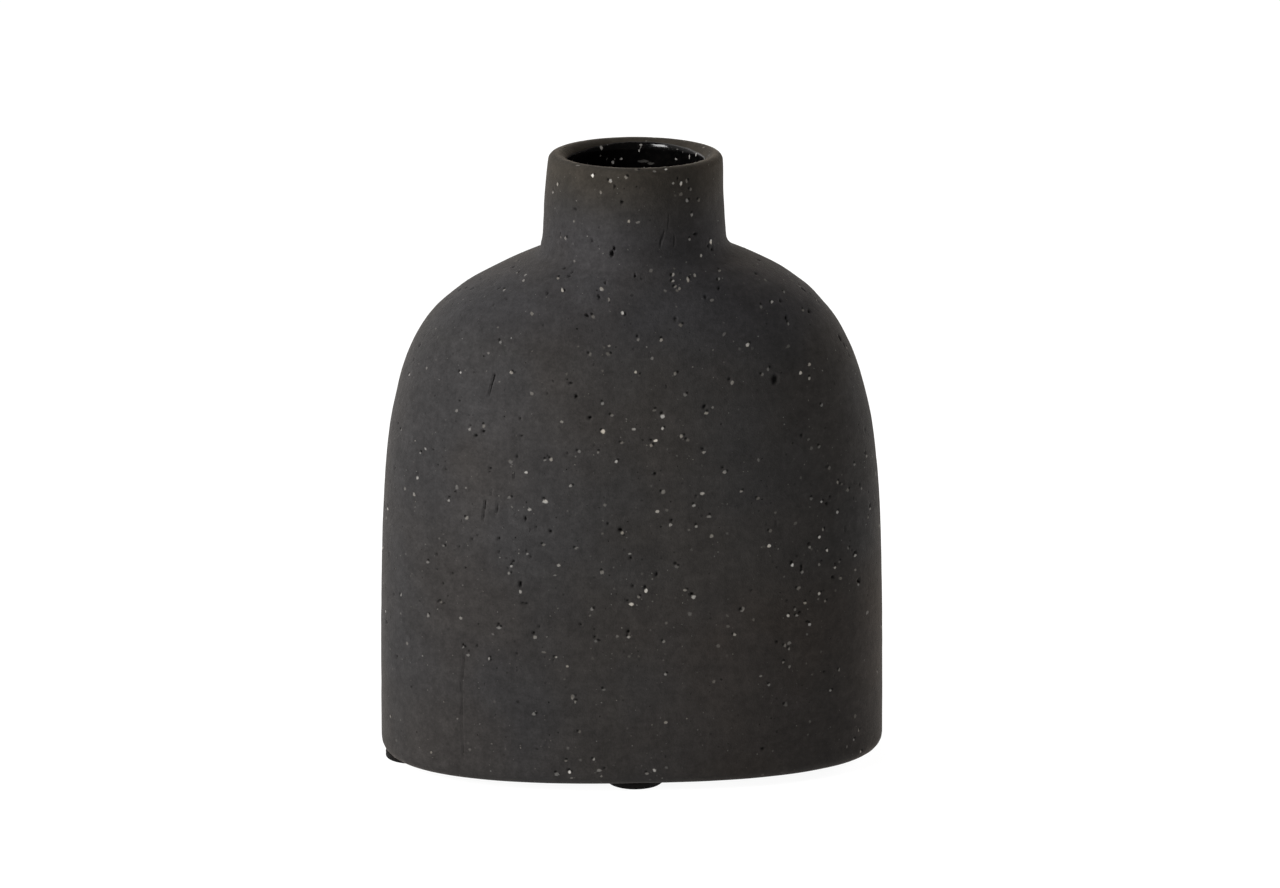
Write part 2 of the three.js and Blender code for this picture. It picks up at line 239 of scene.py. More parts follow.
# ------------------------------------------------------------------ marks in the clay
# Pale grains big enough to be told apart on the front: (x, height, radius, paleness, width to height).
GRAINS = [
    (-13.8, 154.8, .6, .105, 1.5), (7.3, 154.7, .4, .37, 1), (0.2, 154.8, .5, .075, 1.5), (4.5, 154.4, .4, .105, 1.5),
    (-10.4, 153.0, .5, .6, .66), (-2.4, 153.1, .5, .15, 1), (-6.2, 152.1, .6, .23, 1), (12.4, 151.5, .5, .15, .66),
    (9.0, 151.3, .4, .23, 1), (11.0, 151.0, .5, .6, .66), (-18.6, 149.3, .5, .23, 1), (13.4, 149.3, .5, .105, 1),
    (-19.7, 146.9, .4, .15, .66), (-8.5, 149.2, .4, .105, .66), (11.0, 148.4, .6, .105, 1), (12.5, 146.7, .6, .23, 1),
    (15.5, 146.2, .6, .105, 1), (13.7, 143.0, .5, .23, 1), (-1.8, 142.4, .4, .23, 1), (0.4, 142.2, .5, .105, 1.5),
    (-16.9, 136.7, .5, .105, 1), (13.1, 137.1, .4, .23, 1), (18.6, 135.3, .7, .6, .66), (16.0, 132.6, .4, .37, 1),
    (3.5, 130.4, .6, .075, 1), (20.5, 129.0, .5, .15, 1), (-28.7, 127.2, .4, .105, 1), (8.9, 129.3, .5, .23, 1),
    (-26.7, 127.3, .5, .15, 1), (14.2, 128.8, .5, .23, 1), (-19.0, 127.9, .5, .15, 1.5), (12.5, 128.1, .6, .37, .66),
    (20.2, 127.5, .4, .15, 1.5), (32.1, 125.6, .6, .075, 1), (-27.2, 126.4, .5, .15, 1), (8.8, 128.0, .4, .23, 1.5),
    (41.3, 122.1, .6, .105, 1.5), (9.3, 126.8, .4, .15, 1.5), (-8.6, 126.4, .6, .23, 1), (10.3, 126.3, .4, .15, 1),
    (-32.0, 124.1, .5, .15, 1), (-18.0, 125.7, .5, .37, 1), (36.7, 122.6, .5, .105, 1), (-6.9, 124.2, .4, .105, .66),
    (18.2, 123.4, .5, .105, 1.5), (33.3, 121.4, .5, .37, 1.5), (30.4, 120.8, .6, .075, 1), (41.3, 118.2, .5, .105, 1.5),
    (-3.7, 121.2, .5, .37, 1), (-25.5, 120.3, .6, .105, 1), (-10.8, 120.3, .6, .075, 1), (37.2, 116.2, .5, .15, .66),
    (10.4, 118.2, .6, .105, 1), (21.0, 115.6, .5, .075, 1.5), (0.0, 115.0, .4, .105, 1), (5.6, 114.9, .5, .23, 1),
    (-33.2, 113.5, .5, .105, 1), (26.8, 112.7, .6, .6, 1), (-7.0, 113.6, .4, .15, 1.5), (37.0, 111.3, .7, .075, 1.5),
    (52.9, 107.0, .4, .15, 1), (-11.6, 111.6, .6, .075, .66), (-7.3, 111.7, .7, .075, 1.5), (3.3, 110.6, .5, .105, 1),
    (42.4, 106.3, .5, .37, 1), (31.8, 106.6, .5, .105, 1), (-43.0, 105.5, .4, .23, 1), (-30.7, 106.7, .5, .23, 1),
    (-0.7, 107.3, .4, .37, 1), (40.0, 104.7, .5, .6, 1), (8.9, 106.8, .6, .15, 1), (30.3, 105.4, .5, .105, 1),
    (42.3, 103.1, .5, .37, 1), (22.8, 104.0, .6, .23, 1), (-25.8, 101.9, .6, .105, 1), (11.3, 101.6, .6, .105, 1),
    (-8.8, 99.8, .5, .15, 1), (45.4, 96.2, .5, .15, 1), (18.0, 98.2, .4, .105, 1), (-44.0, 96.3, .5, .105, 1),
    (3.8, 98.0, .5, .075, 1.5), (16.4, 96.9, .6, .23, 1.5), (-6.5, 96.9, .5, .105, 1.5), (5.8, 96.4, .7, .37, 1),
    (-18.7, 95.2, .5, .15, 1.5), (-37.5, 93.3, .6, .105, 1), (5.8, 93.5, .4, .37, 1), (-57.7, 88.5, .4, .075, .66),
    (-40.9, 92.2, .5, .15, 1), (-1.2, 93.4, .5, .23, 1.5), (-8.7, 92.9, .7, .6, 1), (10.4, 91.5, .6, .23, 1),
    (11.9, 90.5, .6, .075, 1), (42.0, 88.4, .5, .075, 1), (4.1, 90.5, .5, .6, 1.5), (-4.1, 90.1, .5, .105, 1.5),
    (3.0, 89.3, .5, .23, 1), (44.7, 86.2, .5, .105, 1), (-51.7, 85.8, .4, .15, 1.5), (42.7, 86.1, .6, .075, 1),
    (-14.5, 88.0, .5, .105, 1), (-53.0, 84.5, .4, .105, 1), (-9.9, 87.8, .4, .105, 1), (15.9, 87.3, .5, .23, 1.5),
    (57.6, 80.6, .5, .15, 1), (-21.3, 85.9, .6, .23, 1), (-22.8, 85.7, .4, .105, 1.5), (-5.5, 85.5, .5, .37, 1),
    (29.3, 84.6, .5, .105, .66), (-31.1, 85.0, .7, .075, 1), (54.1, 79.8, .5, .105, 1), (47.4, 80.5, .6, .105, .66),
    (21.0, 82.2, .6, .23, 1), (-27.3, 82.5, .5, .37, 1), (-53.8, 78.1, .5, .23, 1), (49.6, 76.5, .5, .23, .66),
    (50.6, 75.8, .4, .075, 1.5), (-16.6, 79.4, .5, .23, 1), (-44.2, 77.5, .6, .075, 1), (56.1, 73.2, .5, .105, 1),
    (52.3, 73.9, .7, .105, 1.5), (5.9, 77.7, .7, .15, 1), (25.1, 77.1, .4, .23, 1.5), (15.4, 77.0, .6, .37, 1.5),
    (-54.7, 73.8, .6, .15, 1), (-31.4, 76.1, .5, .075, 1), (29.2, 75.0, .5, .105, 1), (42.7, 73.5, .6, .105, 1),
    (-46.2, 73.9, .4, .15, 1), (-22.8, 75.4, .7, .37, 1.5), (45.4, 72.4, .4, .37, 1), (13.4, 74.1, .5, .23, 1),
    (58.7, 67.1, .5, .15, 1.5), (-26.6, 73.2, .5, .23, 1), (4.5, 72.8, .5, .37, 1), (49.6, 69.0, .5, .37, 1),
    (17.1, 71.2, .6, .15, 1.5), (-41.8, 70.1, .6, .15, 1), (38.7, 67.8, .6, .075, 1), (7.7, 69.4, .5, .23, 1),
    (14.0, 68.8, .5, .23, 1), (45.8, 65.3, .4, .23, .66), (32.4, 66.6, .6, .105, 1), (-4.1, 67.5, .5, .23, 1),
    (17.8, 66.2, .6, .23, 1), (44.9, 63.5, .4, .6, 1), (-47.6, 62.3, .4, .075, 1), (-23.2, 64.5, .5, .105, 1.5),
    (32.1, 62.8, .6, .6, 1), (42.4, 61.3, .5, .23, 1), (-15.3, 63.7, .5, .105, 1.5), (52.5, 59.2, .4, .105, .66),
    (46.9, 59.8, .4, .6, .66), (-2.3, 62.2, .4, .15, 1.5), (-27.2, 62.0, .4, .105, 1), (54.4, 56.8, .5, .37, 1.5),
    (50.2, 56.3, .4, .075, 1), (-51.5, 57.5, .5, .105, 1), (44.9, 56.5, .5, .15, 1), (-19.6, 59.3, .5, .23, 1),
    (38.0, 57.3, .5, .6, 1), (-31.1, 58.7, .4, .23, 1), (9.2, 58.7, .6, .075, 1.5), (49.0, 55.0, .4, .37, 1.5),
    (54.5, 53.1, .4, .15, 1.5), (-9.1, 57.6, .7, .15, 1), (40.5, 55.2, .5, .15, 1), (-31.7, 56.9, .5, .15, 1),
    (-20.5, 56.8, .4, .105, 1.5), (50.5, 51.9, .6, .15, 1.5), (55.4, 49.1, .5, .15, 1), (39.6, 51.2, .7, .15, 1),
    (11.3, 52.7, .5, .23, 1.5), (1.7, 52.7, .6, .6, 1), (-29.0, 52.3, .5, .23, 1), (45.0, 49.1, .5, .6, 1),
    (-58.3, 47.2, .4, .15, .66), (-0.1, 51.2, .5, .15, 1), (13.4, 50.9, .7, .37, 1.5), (44.7, 47.7, .4, .075, 1),
    (46.6, 46.9, .4, .15, 1), (-48.4, 47.9, .4, .075, 1), (41.3, 47.2, .5, .37, 1.5), (-1.9, 49.4, .7, .6, 1.5),
    (25.6, 47.2, .6, .105, 1), (-11.6, 48.2, .5, .15, 1), (38.8, 45.9, .5, .15, .66), (25.3, 46.8, .5, .15, 1),
    (58.0, 40.9, .7, .105, 1.5), (12.5, 46.6, .7, .075, 1), (-51.6, 43.8, .6, .15, .66), (37.0, 44.5, .5, .6, 1),
    (39.2, 44.3, .4, .23, 1), (-43.6, 44.4, .5, .15, 1), (28.3, 44.3, .5, .075, 1), (42.5, 41.5, .5, .37, 1),
    (-34.3, 42.8, .6, .15, 1.5), (23.6, 40.8, .5, .37, 1), (41.9, 39.0, .4, .075, 1), (-25.5, 40.8, .6, .15, 1),
    (-2.6, 41.0, .5, .23, 1), (-10.6, 40.0, .5, .075, 1), (6.1, 39.7, .5, .15, 1), (37.4, 37.4, .6, .15, 1),
    (19.5, 38.1, .6, .075, 1), (36.3, 36.9, .5, .15, 1), (-43.1, 37.0, .4, .105, 1), (37.3, 35.9, .4, .15, .66),
    (-23.4, 37.0, .5, .075, 1.5), (-41.9, 35.1, .5, .105, 1.5), (-20.4, 35.8, .4, .23, 1), (-36.8, 34.7, .4, .23, .66),
    (35.9, 32.6, .4, .15, .66), (-17.6, 33.5, .4, .23, 1), (37.5, 31.3, .5, .15, 1), (50.4, 28.3, .4, .15, .66),
    (61.3, 23.7, .5, .105, .66), (6.5, 31.2, .5, .23, 1), (30.2, 29.6, .4, .15, 1), (18.5, 28.9, .5, .105, 1),
    (32.3, 27.1, .4, .15, 1), (-8.7, 27.5, .5, .075, 1.5), (48.2, 23.4, .4, .23, 1.5), (-16.3, 25.7, .7, .105, .66),
    (-16.5, 25.3, .4, .15, .66), (-15.7, 24.4, .4, .15, .66), (36.7, 21.5, .7, .075, .66), (-25.9, 21.0, .6, .15, 1),
    (55.0, 14.9, .7, .075, .66), (6.6, 18.7, .5, .23, 1.5), (56.0, 10.8, .4, .15, .66), (-14.7, 16.6, .5, .075, 1),
    (54.7, 8.8, .4, .15, 1), (52.8, 7.5, .4, .105, .66), (-51.3, 8.3, .4, .105, .66), (56.6, 5.0, .4, .23, 1),
    (-11.2, 9.4, .4, .23, .66), (-18.1, 9.0, .4, .105, 1), (-9.9, 6.5, .6, .15, 1.5), (3.8, 6.3, .5, .37, 1),
    (-17.2, 6.0, .5, .6, 1), (1.9, 5.5, .5, .15, 1.5), (-20.4, 5.5, .7, .105, 1), (-9.4, 5.0, .4, .105, 1),
    (-16.7, 4.5, .4, .105, 1.5),
]
# Grains on the lip: (angle, millimetres past the crest to the inside, radius, paleness, width to height).
RIM_GRAINS = [
    (288.5, .55, .45, .30, 1), (284, .5, .4, .22, 1.5), (316.5, .7, .45, .16, 1.5), (324.5, .9, .4, .18, 1), (233, .7, .35, .14, 1),
    (277, .6, .35, .14, 1.5), (308.5, .7, .35, .13, 1.5), (293, .5, .35, .13, 1), (21, 1.2, .4, .14, 1), (352, 1.6, .35, .14, 1),
    (74, -.4, .35, .10, 1), (131, .2, .4, .10, 1), (158, .6, .35, .12, 1), (48, .3, .4, .12, 1),
]
# Open pits on the front: (x, height, half-width, half-height, depth).
PITS = [
    (-46.1, 74.8, .5, .4, .35), (-23.1, 76.2, .6, .35, .35), (-27.6, 70.9, .4, .75, .5), (-21.5, 67.9, .5, .55, .45),
    (-4.5, 68.3, .57, .65, .6), (-7.6, 69.9, .35, .55, .4), (-34.0, 65.6, .38, .5, .4), (-34.1, 62.2, .33, .4, .35),
    (-30.6, 60.0, .5, .38, .4), (-2.0, 61.2, .5, .5, .4), (-29.0, 54.2, .55, .9, .55), (-49.3, 47.8, .4, .5, .4),
    (-34.4, 43.7, .45, .45, .4), (-25.8, 41.9, .45, .5, .4), (-2.8, 50.3, .5, .38, .4), (-1.5, 54.0, .45, .45, .35),
    (-2.6, 42.4, .45, .55, .5), (-14.3, 44.3, .4, .4, .4), (-27.6, 49.3, .75, .4, .4), (-43.1, 37.6, .4, .45, .4),
    (7.9, 70.5, .45, .55, .4), (46.7, 71.7, .45, .55, .4), (42.2, 62.3, .45, .45, .4), (54.4, 57.7, .5, .4, .4),
    (37.9, 58.2, .4, .45, .4), (40.4, 56.6, .35, .75, .45), (48.5, 52.7, .6, .5, .4), (55.4, 50.1, .65, .45, .6),
    (42.0, 42.4, .45, .4, .4), (1.5, 53.8, .45, .45, .45), (13.0, 51.7, .55, .47, .5), (25.2, 47.1, .55, .55, .45),
    (4.3, 56.9, .4, .75, .45), (9.0, 59.6, .45, .4, .4), (27.8, 51.9, .55, .3, .3), (-5.95, 134.3, .55, .85, .75), (-5.35, 135.6, .4, .55, .55),
    (-3.4, 147.1, .5, .45, .45), (-14.6, 144.3, .8, .65, .22), (14.6, 138.1, .7, .42, .5), (-12.2, 120.6, .57, .45, .5),
    (-15.1, 101.5, .45, .6, .5), (-22.0, 102.0, .33, .38, .3), (-16.4, 104.7, .7, .5, .35), (-11.8, 96.3, .5, .5, .6),
    (-39.4, 90.8, .53, .47, .5), (-37.6, 92.0, .55, .5, .5), (-29.5, 86.3, .4, .65, .35), (-36.0, 83.0, .6, .4, .4),
    (-28.7, 95.7, .4, .45, .35), (-48.8, 82.4, .5, .38, .3), (35.5, 121.2, .5, .45, .4), (33.5, 104.0, 1.1, 1.3, .45),
    (22.2, 104.9, .45, .45, .35), (16.0, 98.6, .5, .6, .45), (5.6, 97.3, .45, .45, .4), (42.9, 117.6, .6, .45, .5),
    (36.7, 117.6, .55, .6, .35), (57.2, 81.5, .4, .45, .4), (3.9, 82.3, .5, .55, .45), (-17.3, 6.7, .45, .45, .4),
    (30.9, 10.6, .65, .5, .4), (46.5, 28.6, .5, .4, .3),
]
# Drying cracks and drag lines on the front: (points (x, height), half-width, depth).
CRACKS = [
    ([(-34.7, 105.9, .3), (-35.1, 104.5, .26), (-35.8, 102.3, .18), (-36.4, 100.1, .12), (-36.7, 98.6, .06)], .48),
    ([(-37.3, 74.8, .16), (-37.5, 73.0, .24), (-37.7, 71.2, .22), (-37.8, 69.7, .1)], .50),
    ([(-34.4, 74.1, .12), (-34.5, 72.7, .24), (-34.7, 71.2, .1)], .48),
    ([(-35.7, 77.9, .14), (-35.9, 76.2, .16)], .26),
    ([(-42.5, 37.8, .1), (-42.9, 33.1, .2), (-43.5, 27.3, .2), (-43.6, 21.6, .2), (-43.5, 15.8, .2), (-43.4, 10.6, .2), (-43.2, 6.5, .1)], .25),
    ([(-49.3, 47.4, .18), (-49.3, 45.0, .1)], .22),
    ([(40.4, 57.3, .2), (40.5, 55.7, .12)], .28),
    ([(-26.9, 113.0, .06), (-25.7, 112.6, .16), (-23.8, 112.2, .12), (-22.0, 112.2, .1), (-20.3, 112.7, .05)], .1),
    ([(-33.6, 118.5, .1), (-33.7, 117.1, .1)], .14),
    ([(-25.3, 106.2, .09), (-25.4, 104.8, .09)], .12),
    ([(-46.9, 113.0, .14), (-46.4, 112.0, .1)], .14),
    ([(33.8, 69.0, .16), (33.8, 67.6, .14)], .24),
    ([(51.6, 64.9, .14), (51.6, 63.8, .12)], .2),
    ([(54.0, 76.1, .12), (54.0, 75.1, .1)], .16),
    ([(41.2, 38.7, .09), (41.3, 36.7, .07)], .12),
    ([(6.8, 139.7, .17), (6.5, 138.5, .34), (6.0, 137.3, .34), (5.8, 136.3, .17)], .2),
    ([(9.3, 138.5, .15), (9.3, 137.3, .3), (9.2, 135.8, .15)], .18),
    ([(8.0, 143.7, .13), (7.9, 142.3, .26), (7.7, 140.6, .13)], .12),
    ([(-30.2, 82.3, .18), (-30.3, 80.8, .1)], .26),
]
PITS += [
    (-47.6, 84.5, .36, .3, .25), (31.4, 68.4, .3, .4, .25), (45.5, 57.4, .42, .36, .32), (36.7, 48.4, .4, .4, .28),
    (33.1, 58.6, .3, .3, .25), (8.7, 62.4, .34, .3, .25), (27.7, 85.9, .3, .34, .25), (47.6, 73.3, .36, .44, .35),
    (10.2, 152.4, .3, .43, .36), (-5.1, 150.8, .42, .6, .28), (-10.6, 137.1, .42, .42, .28), (17.9, 134.5, .36, .36, .45), (18.9, 133.3, .6, .42, .36),
    (31.2, 128.2, .6, .42, .28), (-29.4, 127.6, .6, .42, .28), (-17.2, 129.8, .5, .5, .28), (-15.4, 129.4, .35, .5, .28), (29.8, 127.0, .6, .42, .36),
    (-0.3, 129.4, .3, .43, .36), (-16.2, 128.6, .5, .5, .28), (-37.7, 123.8, .36, .36, .28), (-7.6, 127.8, .3, .43, .28), (-41.1, 121.9, .6, .42, .28),
    (-33.1, 124.2, .42, .42, .28), (20.1, 125.8, .6, .42, .28), (-21.6, 124.9, .42, .6, .28), (43.9, 120.1, .43, .3, .28), (-44.8, 119.3, .36, .36, .28),
    (-9.2, 124.8, .42, .6, .36), (16.7, 124.2, .5, .5, .28), (-31.5, 122.7, .43, .3, .28), (45.8, 118.2, .36, .36, .28), (-2.9, 121.0, .35, .5, .28),
    (9.2, 119.7, .5, .5, .28), (-0.2, 115.9, .36, .36, .36), (52.0, 108.0, .35, .5, .36), (53.3, 105.3, .3, .43, .28), (-54.4, 105.3, .42, .6, .28),
    (-17.2, 105.5, .5, .35, .28), (-43.3, 98.8, .6, .42, .28), (-41.1, 95.6, .43, .3, .28), (-58.5, 89.6, .6, .42, .28), (-40.7, 93.1, .43, .3, .36),
    (57.2, 87.1, .35, .5, .28), (40.2, 89.7, .42, .6, .36), (-28.4, 91.5, .6, .42, .28), (3.0, 90.7, .42, .42, .36), (-49.9, 86.0, .5, .35, .28),
    (15.6, 88.2, .43, .3, .45), (-17.3, 87.5, .35, .5, .28), (-22.1, 86.8, .43, .3, .28), (-59.3, 78.5, .43, .3, .28), (20.5, 83.3, .5, .35, .36),
    (-46.9, 81.6, .6, .42, .28), (-36.2, 82.1, .5, .35, .28), (-53.8, 79.2, .36, .36, .36), (-60.5, 74.3, .3, .43, .28), (55.5, 74.3, .3, .43, .36),
    (14.0, 76.5, .3, .43, .28), (58.6, 68.1, .5, .35, .28), (-25.0, 68.9, .35, .5, .28), (-40.6, 64.8, .42, .6, .28), (-43.8, 62.6, .42, .42, .28),
    (-27.4, 62.8, .36, .36, .36), (-49.3, 59.9, .42, .6, .28), (-61.1, 56.1, .42, .6, .28), (-26.4, 61.3, .5, .5, .28), (49.1, 56.0, .36, .36, .45),
    (-32.0, 58.0, .43, .3, .28), (-45.5, 55.6, .42, .6, .28), (-47.9, 52.7, .42, .6, .28), (-60.1, 46.5, .5, .5, .28), (-47.7, 47.6, .6, .42, .28),
    (-28.5, 49.4, .6, .42, .28), (40.0, 45.0, .6, .42, .36), (-24.5, 43.5, .42, .6, .28), (-10.9, 41.1, .42, .42, .36), (34.2, 38.1, .5, .5, .36),
    (-39.7, 37.7, .42, .6, .28), (-30.0, 36.4, .5, .5, .28), (-59.6, 30.8, .6, .42, .28), (-36.3, 34.4, .3, .43, .36), (-21.1, 35.0, .36, .36, .28),
    (-8.6, 7.1, .5, .5, .28),
]


def on_front(x, height):
    """Angle and profile length of a point of the front at x and height above the floor plane."""
    z = height - BASE_Z
    w0, w1 = MARK["round0"], MARK["lip0"] + 2.6
    ss = np.linspace(w0, w1, 4000)
    s = float(np.interp(z, *_front_rows(ss)))
    zz, a, b = (float(v) for v in PROF.at(s))
    c = max(-0.999, min(0.999, (x - float(lean(zz))) / a))
    c = math.copysign(abs(c) ** (float(power(a, b)) / 2), c)
    return 2 * math.pi - math.acos(c), s        # y < 0


_cache = {}


def _front_rows(ss):
    if "z" not in _cache:
        z = PROF.at(ss)[0]
        _cache["z"], _cache["s"] = np.maximum.accumulate(z + 1e-7 * np.arange(len(z))), ss
    return _cache["z"], _cache["s"]


def scattered():
    """Grains and pits of the same sizes over the sides and the back, which the front list leaves bare."""
    grains, pits = [], []
    w0, w1 = MARK["wall0"] + 1.0, MARK["lip0"]
    tries = 0
    while tries < 2600:
        tries += 1
        i = int(RNG.integers(0, N * K))
        s = float(RNG.uniform(w0, w1))
        th = float(THETA[i])
        z, a, b = (float(v) for v in PROF.at(s))
        # an even spread over the area: columns are narrower where the oval narrows
        if RNG.random() > (a + b) / (HALF_WIDTH + HALF_DEPTH):
            continue
        if math.sin(th) < -0.30:
            continue
        clump = 0.5 + 0.5 * mnoise.noise(Vector((a * math.cos(th), b * math.sin(th), z)) * 0.045)
        u = RNG.random()
        if u < 0.20 + 0.42 * clump:
            r = float(RNG.choice([.4, .5, .6, .7], p=[.30, .42, .22, .06]))
            t = float(RNG.choice([.075, .105, .15, .23, .37, .6], p=[.14, .24, .25, .20, .10, .07]))
            grains.append((th, s, r, t, float(RNG.choice([1.0, 1.5, 0.66], p=[.60, .20, .20]))))
            if RNG.random() < 0.26:
                pits.append((th, s + 0.85, float(RNG.uniform(.36, .58)), float(RNG.uniform(.36, .62)), float(RNG.uniform(.3, .55))))
        elif u > 0.93:
            pits.append((th, s, float(RNG.uniform(.34, .66)), float(RNG.uniform(.34, .9)), float(RNG.uniform(.3, .6))))
        if len(grains) > 235:
            break
    return grains, pits


G_ALL = [on_front(x, h) + (r, t, q) for x, h, r, t, q in GRAINS]
CREST = MARK["lip0"] + LIP_OUT * math.pi / 2
G_ALL += [(math.radians(d), CREST + u, r, t, q) for d, u, r, t, q in RIM_GRAINS]
P_ALL = [on_front(x, h) + (rx, rz, d) for x, h, rx, rz, d in PITS]
_g, _p = scattered()
G_ALL += _g
P_ALL += _p
C_ALL = [([on_front(x, h) + (w,) for x, h, w in pts], d) for pts, d in CRACKS]


# ------------------------------------------------------------------ clay mesh
def spaced(s0, s1, step):
    n = max(1, int(round((s1 - s0) / step)))
    return list(np.linspace(s0, s1, n + 1)[:-1])


def clay_rows():
    rows = [0.0] + spaced(6.0, MARK["round0"] - 2.0, 11.0)
    rows += spaced(MARK["round0"] - 2.0, MARK["wall0"], 0.95)
    rows += spaced(MARK["wall0"], MARK["lip0"], 1.40)
    rows += spaced(MARK["lip0"], MARK["in0"], 0.42)
    rows += spaced(MARK["in0"], MARK["in0"] + 4.0, 1.0)
    rows += spaced(MARK["in0"] + 4.0, MARK["floor0"], 15.0)
    rows += spaced(MARK["floor0"], PROF.length - 8.0, 6.0)
    rows += [PROF.length - 8.0, PROF.length]
    return np.array(rows)


ROWS = clay_rows()
M = len(ROWS) - 1
S_FINE = np.interp(np.arange(M * K + 1) / K, np.arange(M + 1), ROWS)


def cells_near(p, radius, out):
    """Cells of the coarse grid within radius of a point."""
    th, s = p
    z, a, b = (float(v) for v in PROF.at(s))
    i0 = float(np.interp((th - math.pi / 2) % (2 * math.pi) + math.pi / 2, THETA, np.arange(len(THETA)))) / K
    j0 = float(np.interp(s, ROWS, np.arange(M + 1)))
    x, y, _, _ = section(THETA[[(int(i0) % N) * K, (int(i0) % N + 1) * K]], a, b)
    ni = radius / max(0.05, math.hypot(x[1] - x[0], y[1] - y[0]))
    lo, hi = np.interp([s - radius, s + radius], ROWS, np.arange(M + 1))
    for i in range(int(math.floor(i0 - ni)), int(math.floor(i0 + ni)) + 1):
        for j in range(max(1, int(math.floor(lo))), min(M - 2, int(math.floor(hi))) + 1):
            out.add((i % N, j))


fine = set()
for th, s, r, t, q in G_ALL:
    cells_near((th, s), (0.187 + 0.733 * r) * max(1.0, q ** 0.5) * 1.0, fine)
for th, s, rx, rz, d in P_ALL:
    cells_near((th, s), max(rx, rz) * 1.15 + 0.1, fine)
for pts, d in C_ALL:
    for (t0, s0, w0), (t1, s1, w1) in zip(pts[:-1], pts[1:]):
        n = int(abs(s1 - s0) / 0.4 + abs(t1 - t0) * 80) + 2
        for f in np.linspace(0, 1, n):
            cells_near((t0 + (t1 - t0) * f, s0 + (s1 - s0) * f), max(w0, w1) * 1.3 + 0.12, fine)


def build_grid(fine):
    """Quads on the coarse grid, small quads in the fine cells, fans in the cells between."""
    NF = N * K
    vid, keys = {}, []

    def v(i, j):
        k = (i % NF, j)
        if k not in vid:
            vid[k] = len(keys)
            keys.append(k)
        return vid[k]
    faces, centres = [], []
    bottom, top = len(keys), None
    for j in range(1, M):
        if j >= M - 1:
            break
        for i in range(N):
            I, J = i * K, j * K
            if (i, j) in fine:
                for y in range(K):
                    for x in range(K):
                        faces.append((v(I + x, J + y), v(I + x + 1, J + y), v(I + x + 1, J + y + 1), v(I + x, J + y + 1)))
                continue
            loop = []
            loop += [(I + x, J) for x in (range(K) if (i, j - 1) in fine else (0,))]
            loop += [(I + K, J + y) for y in (range(K) if ((i + 1) % N, j) in fine else (0,))]
            loop += [(I + K - x, J + K) for x in (range(K) if (i, j + 1) in fine else (0,))]
            loop += [(I, J + K - y) for y in (range(K) if ((i - 1) % N, j) in fine else (0,))]
            ring = [v(*q) for q in loop]
            if len(ring) == 4:
                faces.append(tuple(ring))
            else:
                centres.append((I + K / 2, J + K / 2))
                c = -len(centres)
                for a, b in zip(ring, ring[1:] + ring[:1]):
                    faces.append((a, b, c))
    nv = len(keys)
    faces = [tuple(nv - 1 - q if q < 0 else q for q in f) for f in faces]
    gi = np.array([k[0] for k in keys] + [c[0] for c in centres], float)
    gj = np.array([k[1] for k in keys] + [c[1] for c in centres], float)
    # the middle of the underside and of the floor inside
    b0, t0 = len(gi), len(gi) + 1
    for i in range(N):
        faces.append((vid[((i + 1) * K % NF, K)], vid[(i * K, K)], b0))
        faces.append((vid[(i * K, (M - 1) * K)], vid[((i + 1) * K % NF, (M - 1) * K)], t0))
    return gi, gj, faces


GI, GJ, FACES = build_grid(fine)
V_TH = np.interp(GI, np.arange(N * K + 1), THETA)
V_S = np.interp(GJ, np.arange(M * K + 1), S_FINE)
POS, NRM, DU, DV = place(V_TH, V_S)

grain = np.full(len(POS), -1.0)
tone = np.zeros(len(POS))
# mask of pits, cracks and the gaps beside grains; the clay material darkens them as painted shade inside the hollows
pit_shade_mask = np.full(len(POS), -1.0)
push = np.zeros(len(POS))

outer = (V_S > MARK["round0"] - 3) & (V_S < MARK["in0"])
fade = np.clip((V_S - MARK["round0"] + 3) / 6, 0, 1) * np.clip((MARK["in0"] - V_S) / 3, 0, 1)
for i in np.nonzero(outer)[0]:
    p = Vector(POS[i])
    h = 0.11 * mnoise.noise(p * 0.036) + 0.05 * mnoise.noise(p * 0.11 + Vector((7, 3, 1)))
    band = mnoise.noise(Vector((p.x * 0.012, p.y * 0.012, p.z * 0.34)))
    h += 0.028 * band + 0.012 * mnoise.noise(p * 0.5)
    push[i] = h * fade[i]

TU = DU / np.maximum(1e-9, np.linalg.norm(DU, axis=1, keepdims=True))
TV = DV / np.maximum(1e-9, np.linalg.norm(DV, axis=1, keepdims=True))


def near(centre, radius):
    d = POS - centre
    return np.nonzero((np.abs(d) < radius).all(axis=1))[0]


def spot(th, s):
    p, n, du, dv = place(np.array([th]), np.array([s]))
    return p[0], du[0] / np.linalg.norm(du[0]), dv[0] / np.linalg.norm(dv[0])


def ragged(d, u, w, amount, seed):
    """A radius that varies with direction, so a mark has an uneven edge."""
    ang = np.arctan2(w, u)
    r = np.zeros_like(ang)
    g = np.random.default_rng(seed)
    for k in (2, 3, 5):
        r += g.uniform(-1, 1) * np.cos(k * ang + g.uniform(0, 6.3)) / k ** 0.6
    return d * (1 + amount * r)


